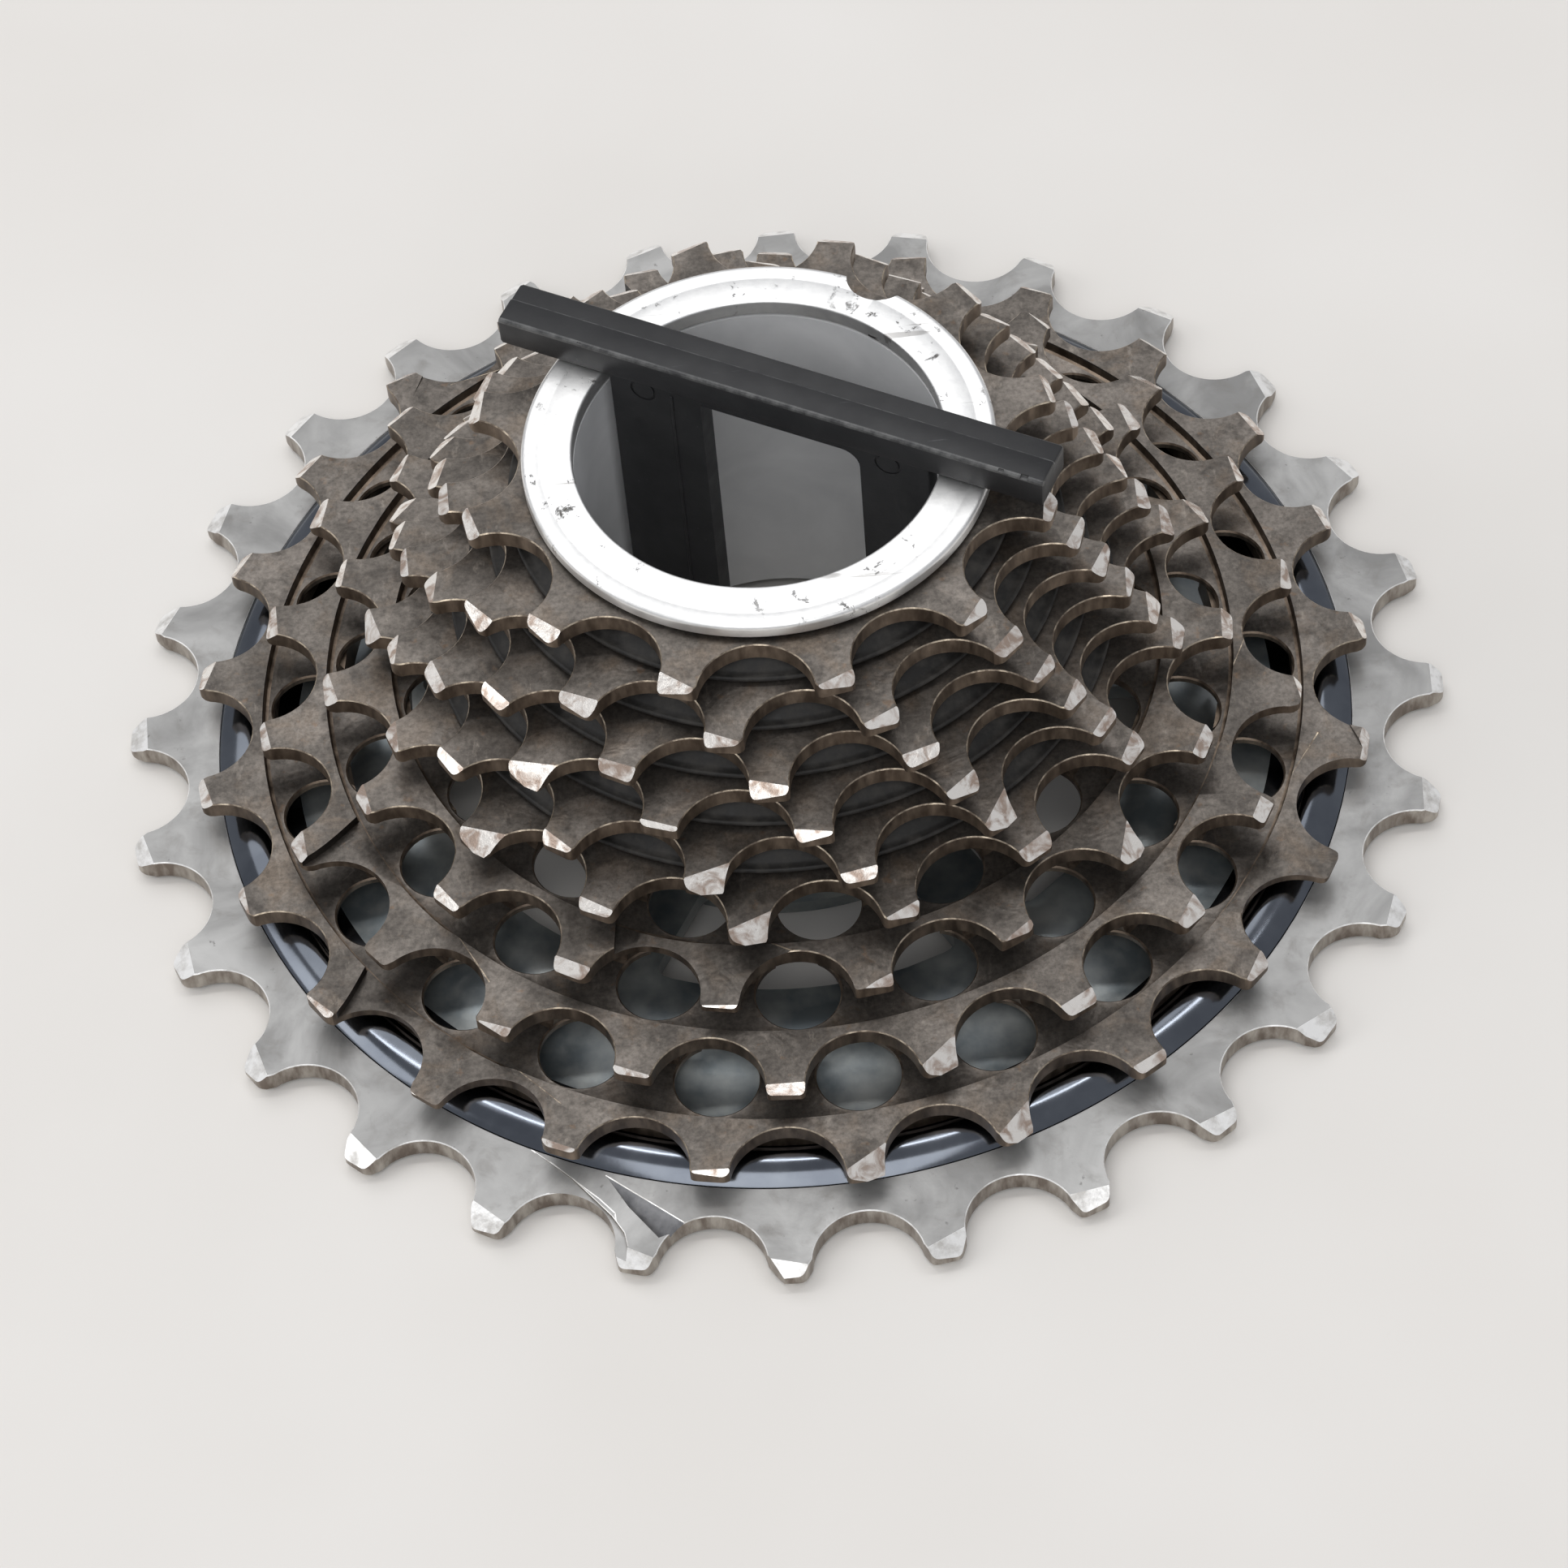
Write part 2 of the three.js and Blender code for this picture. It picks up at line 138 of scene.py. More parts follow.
CARRIER_BORE = 15.6
RIM_TOP = 3.4
RIM_BOTTOM = 0.4
RIM_WALL_TOP = 2.3
RIM_ROUNDING = 2.6
RIM_INNER = 45.9
DISH_OUTER = 42.0
DISH_RUN = 8.5
DISH_RISE = 2.5
PLATE_THICKNESS = 1.7
HUB_RADIUS = 20.6
HUB_TOP = 10.0
ARM_COUNT = 6
ARM_HALF_WIDTH = 3.2
WINDOW_INNER = 21.6
WINDOW_OUTER = 31.5
WINDOW_OUTER_CORNER = 1.6
WINDOW_INNER_CORNER = 1.2
SPLINE_COUNT = 9
SPLINE_MINOR = 16.8
SPLINE_MAJOR = 17.9

FLANGE_BORE = 15.2
FLANGE_GROOVE = (17.7, 18.1)
FLANGE_GROOVE_DEPTH = 0.03
NOTCH_RADIUS = 2.7
NOTCH_OUTSIDE = 0.85
NOTCH_AZIMUTH = 56

BAR_LENGTH = 48.6
BAR_WIDTH = 4.6
BAR_HEIGHT = 2.8
BAR_STEP_WIDTH = 2.0
BAR_STEP_DROP = 0.16
BAR_AZIMUTH = -28.5
BAR_OFFSET = 4.05

# Places along the bar and depths of the nicks in its front upper edge.
BAR_NICKS = [(20.4, 0.16), (22.3, 0.22), (-17.0, 0.12)]

LEG_HALF_WIDTH = 14.3
LEG_THICKNESS = 1.9
LEG_FOOT = 2.0
LEG_WINDOW_LEFT = -6.0
LEG_WINDOW_RIGHT = 8.2
LEG_WINDOW_FOOT = 7.0
LEG_WINDOW_CORNER = 1.6
EJECTOR_MARKS = (-11.2, 10.7)
EJECTOR_MARK_RADIUS = 1.05
RIB_PLACE = -8.75
RIB_WIDTH = 0.25


# ------------------------------------------------------------------ mesh helpers


def polar(radius, angle):
    return np.array([radius * math.cos(angle), radius * math.sin(angle)])


def make_mesh(name, vertices, faces, slots, materials):
    """A linked object from points and faces, with a material slot number for each face."""
    mesh = bpy.data.meshes.new(name)
    mesh.from_pydata([tuple(map(float, v)) for v in vertices], [], faces)
    for material in materials:
        mesh.materials.append(material)
    mesh.polygons.foreach_set("material_index", slots)
    mesh.update()
    piece = bpy.data.objects.new(name, mesh)
    bpy.context.scene.collection.objects.link(piece)
    return piece


def ring_mesh(name, sections, slot_of, materials):
    """A closed ring. sections[i][k] is point k of cross-section i, and slot_of(i, k) its material."""
    around, across = sections.shape[:2]
    faces, slots = [], []
    for i in range(around):
        j = (i + 1) % around
        for k in range(across):
            m = (k + 1) % across
            faces.append((i * across + k, j * across + k, j * across + m, i * across + m))
            slots.append(slot_of(i, k))
    return make_mesh(name, sections.reshape(-1, 3), faces, slots, materials)


def turned(name, profile, steps, materials, slots=None):
    """A lathe-made ring from a counter-clockwise profile of (radius, height) pairs."""
    angles = np.arange(steps) * 2 * math.pi / steps
    radii = np.array([p[0] for p in profile], float)
    heights = np.array([p[1] for p in profile], float)
    sections = np.empty((steps, len(profile), 3))
    sections[:, :, 0] = np.cos(angles)[:, None] * radii
    sections[:, :, 1] = np.sin(angles)[:, None] * radii
    sections[:, :, 2] = heights
    pick = (lambda i, k: 0) if slots is None else (lambda i, k: slots[k])
    return ring_mesh(name, sections, pick, materials)


def prisms(name, outlines, material, side_material=None):
    """One cutter from several prisms, each a list of (x, y, low z, high z) corners in order."""
    vertices, faces, slots = [], [], []
    for outline in outlines:
        following = outline[1:] + outline[:1]
        if sum(a[0] * b[1] - b[0] * a[1] for a, b in zip(outline, following)) < 0:
            outline = outline[::-1]
        base, count = len(vertices), len(outline)
        vertices += [(x, y, low) for x, y, low, high in outline]
        vertices += [(x, y, high) for x, y, low, high in outline]
        faces.append(tuple(base + i for i in reversed(range(count))))
        faces.append(tuple(base + count + i for i in range(count)))
        for i in range(count):
            j = (i + 1) % count
            faces.append((base + i, base + j, base + count + j, base + count + i))
        slots += [0, 0] + [1] * count
    return make_mesh(name, vertices, faces, slots, [material, side_material or material])


def combine(piece, other, operation):
    """Cuts or joins with another closed mesh, whose faces bring their own material."""
    change = piece.modifiers.new("combine", "BOOLEAN")
    change.operation = operation
    change.solver = "MANIFOLD"
    change.material_mode = "TRANSFER"
    change.object = other
    graph = bpy.context.evaluated_depsgraph_get()
    result = bpy.data.meshes.new_from_object(piece.evaluated_get(graph))
    piece.modifiers.clear()
    old = piece.data
    piece.data = result
    bpy.data.meshes.remove(old)
    bpy.data.meshes.remove(other.data)


def arc(centre, radius, start, end, steps):
    """Points (a, b) along an arc, from angle start to angle end in degrees."""
    angles = [math.radians(start + (end - start) * i / steps) for i in range(steps + 1)]
    return [(centre[0] + radius * math.cos(a), centre[1] + radius * math.sin(a)) for a in angles]


def hand_over(piece, body, node, smooth=28):
    """Scales a finished piece to metres, shades it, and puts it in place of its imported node."""
    piece.data.transform(Matrix.Scale(MM, 4))
    piece.data.shade_smooth()
    piece.data.set_sharp_from_angle(angle=math.radians(smooth))
    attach(piece, body)
    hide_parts(node)


# ------------------------------------------------------------------ materials


class Shader:
    """A principled material with a few shorthands for its procedural nodes."""

    def __init__(self, name, metallic=0.0, **constants):
        self.material = bpy.data.materials.new(name)
        self.material.use_nodes = True
        self.tree = self.material.node_tree
        self.bsdf = self.tree.nodes["Principled BSDF"]
        self.bsdf.inputs["Metallic"].default_value = metallic
        for socket, value in constants.items():
            self.bsdf.inputs[socket].default_value = value
        self.place = self.tree.nodes.new("ShaderNodeTexCoord").outputs["Object"]

    def link(self, value, socket):
        if isinstance(value, bpy.types.NodeSocket):
            self.tree.links.new(value, socket)
        else:
            socket.default_value = value

    def stretched(self, x, y, z):
        """Texture coordinates scaled along each axis."""
        node = self.tree.nodes.new("ShaderNodeMapping")
        node.inputs["Scale"].default_value = (x, y, z)
        self.tree.links.new(self.place, node.inputs["Vector"])
        return node.outputs["Vector"]

    def noise(self, grain, detail=4.0, roughness=0.55, place=None, distortion=0.0):
        """Noise with features about grain millimetres across."""
        node = self.tree.nodes.new("ShaderNodeTexNoise")
        node.inputs["Scale"].default_value = 1 / (grain * MM)
        node.inputs["Detail"].default_value = detail
        node.inputs["Roughness"].default_value = roughness
        node.inputs["Distortion"].default_value = distortion
        self.tree.links.new(place or self.place, node.inputs["Vector"])
        return node.outputs["Fac"]

    def spread(self, value, low, high, to_low=0.0, to_high=1.0):
        """The value with low to high stretched to to_low to to_high, and held at both ends."""
        node = self.tree.nodes.new("ShaderNodeMapRange")
        for socket, number in zip(node.inputs[1:5], (low, high, to_low, to_high)):
            socket.default_value = number
        self.tree.links.new(value, node.inputs["Value"])
        return node.outputs["Result"]

    def blend(self, share, first, second, mode="MIX"):
        node = self.tree.nodes.new("ShaderNodeMix")
        node.data_type = "RGBA"
        node.blend_type = mode
        self.link(share, node.inputs["Factor"])
        for value, socket in ((first, node.inputs["A"]), (second, node.inputs["B"])):
            self.link(value if isinstance(value, bpy.types.NodeSocket) else (*value, 1), socket)
        return node.outputs["Result"]

    def maths(self, operation, first, second):
        node = self.tree.nodes.new("ShaderNodeMath")
        node.operation = operation
        self.link(first, node.inputs[0])
        self.link(second, node.inputs[1])
        return node.outputs["Value"]

    def bump(self, value, depth, strength=0.6):
        """A bump of the given depth in millimetres, on top of any that is already there."""
        node = self.tree.nodes.new("ShaderNodeBump")
        node.inputs["Strength"].default_value = strength
        node.inputs["Distance"].default_value = depth * MM
        self.tree.links.new(value, node.inputs["Height"])
        socket = self.bsdf.inputs["Normal"]
        if socket.links:
            self.tree.links.new(socket.links[0].from_socket, node.inputs["Normal"])
        self.tree.links.new(node.outputs["Normal"], socket)

    def colour(self, value):
        self.tree.links.new(value, self.bsdf.inputs["Base Color"])

    def rough(self, value):
        self.tree.links.new(value, self.bsdf.inputs["Roughness"])


def steel_face(name="steel_face", dimming=1.0):
    """Oiled grey-brown steel with clouds, smears, wear and a little rust. A dimming below 1 darkens all of
    it: painted shade, for the pocket floors and walls.
    """
    s = Shader(name, metallic=0.78)
    cloud = s.noise(7.0, detail=5)
    smear = s.noise(2.2, detail=6, distortion=0.8)
    tone = s.blend(s.spread(cloud, 0.36, 0.64), (0.092, 0.081, 0.071), (0.192, 0.170, 0.150))
    tone = s.blend(s.spread(smear, 0.50, 0.70, 0, 0.65), tone, (0.070, 0.062, 0.055))
    oiled = s.noise(4.0, detail=6, roughness=0.6, distortion=0.6)
    tone = s.blend(s.spread(oiled, 0.50, 0.66, 0, 0.42), tone, (0.175, 0.132, 0.096))
    grain = s.noise(0.45, detail=6, roughness=0.72)
    speckle = s.spread(grain, 0.36, 0.62, 0.72, 1.22)
    wear = s.noise(1.3, detail=7, roughness=0.7, place=s.stretched(1, 0.35, 1))
    tone = s.blend(s.spread(wear, 0.58, 0.70, 0, 0.5), tone, (0.29, 0.255, 0.22))
    rust = s.spread(s.noise(1.1, detail=3), 0.64, 0.74, 0, 0.35)
    tone = s.blend(rust, tone, (0.20, 0.115, 0.06))
    s.colour(s.blend(1.0, tone, s.maths("MULTIPLY", speckle, dimming), "MULTIPLY"))
    s.rough(s.spread(smear, 0.3, 0.75, 0.28, 0.48))
    s.bump(grain, 0.016)
    s.bump(cloud, 0.12, 0.35)
    s.bump(s.noise(3.0, detail=2, distortion=1.4), 0.11, 0.5)
    return s.material


def steel_wall():
    s = Shader("steel_gullet_wall", metallic=0.85)
    rubbed = s.noise(0.9, detail=4, place=s.stretched(1, 1, 0.3))
    tone = s.blend(s.spread(rubbed, 0.35, 0.7), (0.13, 0.098, 0.074), (0.30, 0.235, 0.18))
    s.colour(s.blend(s.spread(s.noise(3.0), 0.5, 0.7, 0, 0.5), tone, (0.09, 0.066, 0.048)))
    s.rough(s.spread(rubbed, 0.3, 0.7, 0.32, 0.48))
    s.bump(rubbed, 0.02)
    return s.material


def steel_edge():
    s = Shader("steel_worn_edge_and_painted_highlight", metallic=0.9)
    # Bright worn steel on the edge chamfers; on the hairline grooves the same bright colour is a painted
    # highlight.
    wear_and_highlight = s.spread(s.noise(1.1, detail=6, roughness=0.65), 0.42, 0.66)
    s.colour(s.blend(wear_and_highlight, (0.17, 0.135, 0.105), (0.66, 0.56, 0.43)))
    s.rough(s.spread(wear_and_highlight, 0, 1, 0.46, 0.30))
    return s.material


def bright_facet():
    """Steel that the chain has worn bright, with pits and brown stains."""
    s = Shader("steel_bright_facet", metallic=0.62)
    pits = s.spread(s.noise(0.40, detail=8, roughness=0.78, distortion=0.6), 0.60, 0.72)
    stain = s.spread(s.noise(1.5, detail=5, distortion=0.8), 0.44, 0.62, 0, 1.0)
    tone = s.blend(stain, (0.95, 0.905, 0.85), (0.46, 0.355, 0.29))
    s.colour(s.blend(s.maths("MULTIPLY", pits, 0.85), tone, (0.13, 0.095, 0.075)))
    s.rough(s.spread(pits, 0, 1, 0.26, 0.50))
    s.bump(s.noise(0.7, detail=5, roughness=0.65), 0.055, 0.7)
    return s.material


def aluminium_face():
    s = Shader("aluminium_face", metallic=0.5)
    cloud = s.noise(8.0, detail=5, distortion=0.6)
    stain = s.noise(2.6, detail=7, roughness=0.62, distortion=0.5)
    tone = s.blend(s.spread(cloud, 0.36, 0.66), (0.235, 0.232, 0.226), (0.44, 0.435, 0.425))
    tone = s.blend(s.spread(stain, 0.54, 0.74, 0, 0.5), tone, (0.20, 0.188, 0.172))
    specks = s.spread(s.noise(0.9, detail=5), 0.68, 0.74, 0, 0.6)
    s.colour(s.blend(specks, tone, (0.10, 0.095, 0.09)))
    s.rough(s.spread(stain, 0.3, 0.75, 0.30, 0.46))
    s.bump(s.noise(0.4, detail=3), 0.012)
    s.bump(cloud, 0.16, 0.35)
    return s.material


def aluminium_wall():
    s = Shader("aluminium_gullet_wall", metallic=0.9)
    rubbed = s.noise(1.0, detail=5, place=s.stretched(1, 1, 0.3))
    s.colour(s.blend(s.spread(rubbed, 0.38, 0.66), (0.20, 0.165, 0.138), (0.50, 0.465, 0.42)))
    s.rough(s.spread(rubbed, 0.3, 0.7, 0.30, 0.50))
    s.bump(rubbed, 0.03)
    return s.material


def aluminium_edge():
    s = Shader("aluminium_worn_edge_and_painted_highlight", metallic=0.4)
    # Bare worn aluminium on the tips, facets and chamfers; on the hairline grooves the same bright colour
    # is a painted highlight.
    wear_and_highlight = s.spread(s.noise(1.4, detail=6, roughness=0.6), 0.34, 0.56)
    s.colour(s.blend(wear_and_highlight, (0.58, 0.56, 0.53), (0.96, 0.95, 0.93)))
    s.rough(s.spread(wear_and_highlight, 0, 1, 0.42, 0.28))
    s.bump(s.noise(0.5, detail=6), 0.06)
    return s.material


def aluminium_shade():
    s = Shader("aluminium_wedge_painted_shade", metallic=0.7)
    # The wedge cut's floor: the same aluminium given a darker grey, painted shade of the sunken slope.
    cloud = s.noise(1.5, detail=5)
    s.colour(s.blend(s.spread(cloud, 0.35, 0.68), (0.10, 0.10, 0.105), (0.22, 0.22, 0.225)))
    s.rough(s.spread(cloud, 0.3, 0.7, 0.36, 0.5))
    s.bump(s.noise(0.5, detail=3), 0.02)
    return s.material


def carrier_metal():
    s = Shader("carrier_anodised", metallic=1.0)
    cloud = s.noise(5.0, detail=5)
    s.colour(s.blend(s.spread(cloud, 0.35, 0.68), (0.120, 0.132, 0.155), (0.165, 0.180, 0.205)))
    s.rough(s.spread(s.noise(2.5, detail=4), 0.3, 0.7, 0.11, 0.16))
    s.bump(s.noise(1.0, detail=3), 0.004)
    return s.material


def carrier_arm():
    s = Shader("carrier_satin_painted_light", metallic=0.75)
    # The carrier's own metal made lighter than the rim's, though one part: painted light on the dish, arms
    # and hub seen through the web holes.
    cloud = s.noise(4.0, detail=5)
    s.colour(s.blend(s.spread(cloud, 0.35, 0.68), (0.20, 0.23, 0.245), (0.42, 0.435, 0.425)))
    s.rough(s.spread(cloud, 0.3, 0.7, 0.28, 0.42))
    s.bump(s.noise(0.5, detail=3), 0.01)
    return s.material


def rubber():
    s = Shader("damper_rubber", **{"Specular IOR Level": 0.35})
    dust = s.noise(1.4, detail=5)
    s.colour(s.blend(s.spread(dust, 0.42, 0.72), (0.016, 0.015, 0.014), (0.052, 0.048, 0.043)))
    s.rough(s.spread(dust, 0.3, 0.7, 0.48, 0.68))
    s.bump(s.noise(0.5, detail=4), 0.03)
    return s.material


def flange_metal():
    """Bright aluminium with scuffs and scratches in some regions."""
    s = Shader("flange_bright", metallic=0.9)
    scuffs = s.spread(s.noise(2.2, detail=9, roughness=0.74, distortion=0.4), 0.60, 0.66)
    region = s.spread(s.noise(13.0, detail=3), 0.43, 0.52)
    marks = s.maths("MULTIPLY", scuffs, region)
    scratches = s.spread(s.noise(2.4, detail=5, place=s.stretched(0.12, 2.2, 1)), 0.66, 0.69, 0, 0.7)
    fine = s.noise(0.8, detail=4)
    tone = s.blend(s.spread(fine, 0.35, 0.7), (0.93, 0.925, 0.91), (0.85, 0.845, 0.835))
    tone = s.blend(s.maths("MULTIPLY", scratches, region), tone, (0.40, 0.385, 0.37))
    s.colour(s.blend(marks, tone, (0.13, 0.12, 0.11)))
    s.rough(s.spread(s.noise(2.0, detail=5), 0.3, 0.7, 0.34, 0.46))
    s.bump(s.noise(0.3, detail=5), 0.012)
    s.bump(marks, -0.04, 0.7)
    return s.material


def sleeve_metal():
    s = Shader("sleeve_satin", metallic=0.2)
    cloud = s.noise(9.0, detail=5, distortion=0.5)
    s.colour(s.blend(s.spread(cloud, 0.35, 0.68), (0.78, 0.785, 0.79), (0.92, 0.922, 0.925)))
    s.rough(s.spread(s.noise(3.0, detail=4), 0.3, 0.7, 0.36, 0.48))
    s.bump(s.noise(0.6, detail=4, place=s.stretched(1, 1, 4)), 0.008)
    return s.material


def moulded_plastic():
    s = Shader("retainer_plastic", **{"Specular IOR Level": 0.45})
    cloud = s.noise(6.0, detail=5)
    tone = s.blend(s.spread(cloud, 0.35, 0.7), (0.011, 0.011, 0.012), (0.022, 0.022, 0.023))
    streaks = s.noise(0.6, detail=6, roughness=0.7, place=s.stretched(0.15, 1.6, 1))
    s.colour(s.blend(s.spread(streaks, 0.66, 0.72, 0, 0.5), tone, (0.09, 0.09, 0.095)))
    s.rough(s.spread(s.noise(2.2, detail=6), 0.3, 0.7, 0.34, 0.50))
    s.bump(s.noise(0.22, detail=3), 0.012)
    s.bump(cloud, 0.08, 0.3)
    return s.material


def moulded_edge():
    s = Shader("retainer_edge_wear_and_painted_highlight", **{"Specular IOR Level": 0.6})
    # Lighter plastic along the bar's front and step edges, a painted highlight with some wear; in the
    # nicks it is wear.
    wear_and_highlight = s.spread(s.noise(1.4, detail=6, roughness=0.65), 0.40, 0.62)
    s.colour(s.blend(wear_and_highlight, (0.025, 0.025, 0.026), (0.10, 0.10, 0.098)))
    s.rough(s.spread(wear_and_highlight, 0, 1, 0.30, 0.42))
    return s.material


FACE = steel_face()
# Pocket floors and steep walls: the face steel darkened as painted shade, a little on the floor and
# strongly on the wall.
POCKET = steel_face("steel_pocket_floor_painted_shade", 0.9)
POCKET_WALL_SHADE = steel_face("steel_pocket_wall_painted_shade", 0.35)
WALL = steel_wall()
EDGE = steel_edge()
FACET = bright_facet()
LARGE_FACE = aluminium_face()
LARGE_WALL = aluminium_wall()
LARGE_EDGE = aluminium_edge()
LARGE_SHADE = aluminium_shade()
CARRIER = carrier_metal()
CARRIER_ARM = carrier_arm()
RUBBER = rubber()
FLANGE = flange_metal()
SLEEVE = sleeve_metal()
PLASTIC = moulded_plastic()
PLASTIC_EDGE = moulded_edge()

# ------------------------------------------------------------------ sprocket outlines


def pitch_radius(teeth):
    return CHAIN_PITCH / 2 / math.sin(math.pi / teeth)


def root_radius(index):
    return pitch_radius(TEETH[index]) - GULLET_RADIUS


def node_name(index):
    return f"sprocket_{TEETH[index]}t"


def top_of(index):
    """Height of a sprocket's upper face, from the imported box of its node."""
    low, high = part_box(node_name(index))
    return high.z / MM if index == 0 else low.z / MM + DISC_THICKNESS


def near(azimuth, wanted, window):
    """Whether an azimuth is within window degrees of one of the wanted ones."""
    return any(abs((azimuth - w + 180) % 360 - 180) < window for w in wanted)


def tooth_shapes(index, rng):
    """Each tooth's azimuth, tip radius, half widths either side, and facet run, slope and skew."""
    teeth = TEETH[index]
    rise = LARGE_TIP_RISE if index == 0 else TIP_RISE
    half_width = LARGE_TIP_HALF_WIDTH if index == 0 else TIP_HALF_WIDTH
    shapes = []
    for i in range(teeth):
        azimuth = CLOCKING[index] + (i + 0.5) * 360 / teeth
        short = near(azimuth, SHORT_TEETH.get(teeth, []), 180 / teeth)
        long_facet = near(azimuth, LONG_FACETS.get(teeth, []), 180 / teeth)
        shape = {
            "angle": math.radians(azimuth),
            "tip": pitch_radius(teeth) + rise - rng.uniform(0, 0.12) - (SHORTENING if short else 0),
            "left": half_width + rng.uniform(-0.2, 0.15),
            "right": half_width + rng.uniform(-0.2, 0.15),
            "run": rng.uniform(0.6, 1.1),
            "slope": rng.uniform(0.72, 0.95),
            "skew": rng.uniform(-0.34, 0.34),
        }
        if short:
            shape["run"] = SHORT_TOOTH_RUN
        if long_facet:
            shape["run"] = LONG_FACET_RUN
            shape["skew"] = LONG_FACET_SKEW
        if index == 0:
            shape["run"] += LARGE_FACET_EXTRA_RUN
            shape["slope"] -= LARGE_FACET_LESS_SLOPE
        shapes.append(shape)
    return shapes


def rounded_corner(before, corner, after, size, steps=4):
    """Points around a corner, from size before it to size after it, or less on a short side."""
    first = corner + (before - corner) * min(MOST_OF_SIDE, size / np.linalg.norm(before - corner))
    last = corner + (after - corner) * min(MOST_OF_SIDE, size / np.linalg.norm(after - corner))
    shares = [i / steps for i in range(steps + 1)]
    return [first * (1 - t) ** 2 + corner * 2 * t * (1 - t) + last * t**2 for t in shares]


def tooth_outline(index, shapes):
    """The outline anticlockwise: a round gullet before each tooth, then its two rounded corners."""
    teeth = TEETH[index]
    pitch = pitch_radius(teeth)
    radius = LARGE_GULLET_RADIUS if index == 0 else GULLET_RADIUS
    points = []
    for i, shape in enumerate(shapes):
        gap = math.radians(CLOCKING[index] + i * 360 / teeth)
        next_gap = gap + 2 * math.pi / teeth
        centre = polar(pitch, gap)
        turns = [GULLET_HALF_SWEEP * (1 - 2 * j / GULLET_STEPS) for j in range(GULLET_STEPS + 1)]
        gullet = [centre + polar(radius, gap + math.pi + turn) for turn in turns]
        right = polar(shape["tip"], shape["angle"] - math.asin(shape["right"] / shape["tip"]))
        left = polar(shape["tip"], shape["angle"] + math.asin(shape["left"] / shape["tip"]))
        following = polar(pitch, next_gap) + polar(radius, next_gap + math.pi + GULLET_HALF_SWEEP)
        points += gullet
        points += rounded_corner(gullet[-1], right, left, TIP_CORNER)
        points += rounded_corner(right, left, following, TIP_CORNER)
    return np.array(points)


def inset(outline, distance):
    """The outline moved inward along its normals."""
    before = outline - np.roll(outline, 1, axis=0)
    after = np.roll(outline, -1, axis=0) - outline
    before /= np.linalg.norm(before, axis=1)[:, None]
    after /= np.linalg.norm(after, axis=1)[:, None]
    along = before + after
    along /= np.linalg.norm(along, axis=1)[:, None]
    inward = np.stack([-along[:, 1], along[:, 0]], axis=1)
    stretch = 1 / np.clip((along * after).sum(axis=1), 0.5, 1)
    return outline + inward * distance * stretch[:, None]


# ------------------------------------------------------------------ sprocket pieces


def toothed_disc(index, shapes, rings, thickness, materials):
    """A toothed ring. rings are (radius, height, slot), from the face inward and down."""
    high = top_of(index)
    low = high - thickness
    outline = tooth_outline(index, shapes)
    narrow = inset(outline, EDGE_CHAMFER)
    angles = np.arctan2(outline[:, 1], outline[:, 0])
    rows = [
        (narrow, low),
        (outline, low + EDGE_CHAMFER),
        (outline, high - EDGE_CHAMFER),
        (narrow, high),
    ]
    slots = [2, 1, 2, 0]
    for radius, height, slot in rings:
        circle = np.stack([np.cos(angles), np.sin(angles)], axis=1) * radius
        rows.append((circle, height))
        slots.append(slot)
    sections = np.empty((len(outline), len(rows), 3))
    for k, (plan, height) in enumerate(rows):
        sections[:, k, :2] = plan
        sections[:, k, 2] = height
    return ring_mesh(node_name(index), sections, lambda i, k: slots[k], materials)


def facet_outlines(index, shapes):
    """Slanted prisms that leave a bright facet across the top of every tooth's tip."""
    high = top_of(index)
    outlines = []
    for shape in shapes:
        beyond_tip = shape["tip"] + 1
        first, last = [
            shape["tip"] - shape["run"] + shape["skew"] * side for side in (-FACET_REACH, FACET_REACH)
        ]
        corners = [
            (first - FACET_BACK, -FACET_REACH, -FACET_BACK),
            (beyond_tip, -FACET_REACH, beyond_tip - first),
            (beyond_tip, FACET_REACH, beyond_tip - last),
            (last - FACET_BACK, FACET_REACH, -FACET_BACK),
        ]
        outline = []
        for out, side, past_line in corners:
            x, y = polar(out, shape["angle"]) + polar(side, shape["angle"] + math.pi / 2)
            outline.append((x, y, high - past_line * shape["slope"], high + 2))
        outlines.append(outline)
    return outlines


def under_facet_outlines(index, shapes, thickness):
    """Prisms for the smaller bevel along the underside of every tip."""
    low = top_of(index) - thickness
    outlines = []
    for shape in shapes:
        line = shape["tip"] - UNDER_FACET_RUN
        back, front = line - FACET_BACK, line + 2
        corners = [(back, -FACET_REACH), (front, -FACET_REACH), (front, FACET_REACH), (back, FACET_REACH)]
        outline = []
        for out, side in corners:
            x, y = polar(out, shape["angle"]) + polar(side, shape["angle"] + math.pi / 2)
            outline.append((x, y, low - 2, low + (out - line) * UNDER_FACET_SLOPE))
        outlines.append(outline)
    return outlines


def pocket_foot(index):
    """Radius at which a sprocket's shift pockets start, a little inside its land."""
    return root_radius(index) - LAND_INSET - POCKET_BELOW_LAND


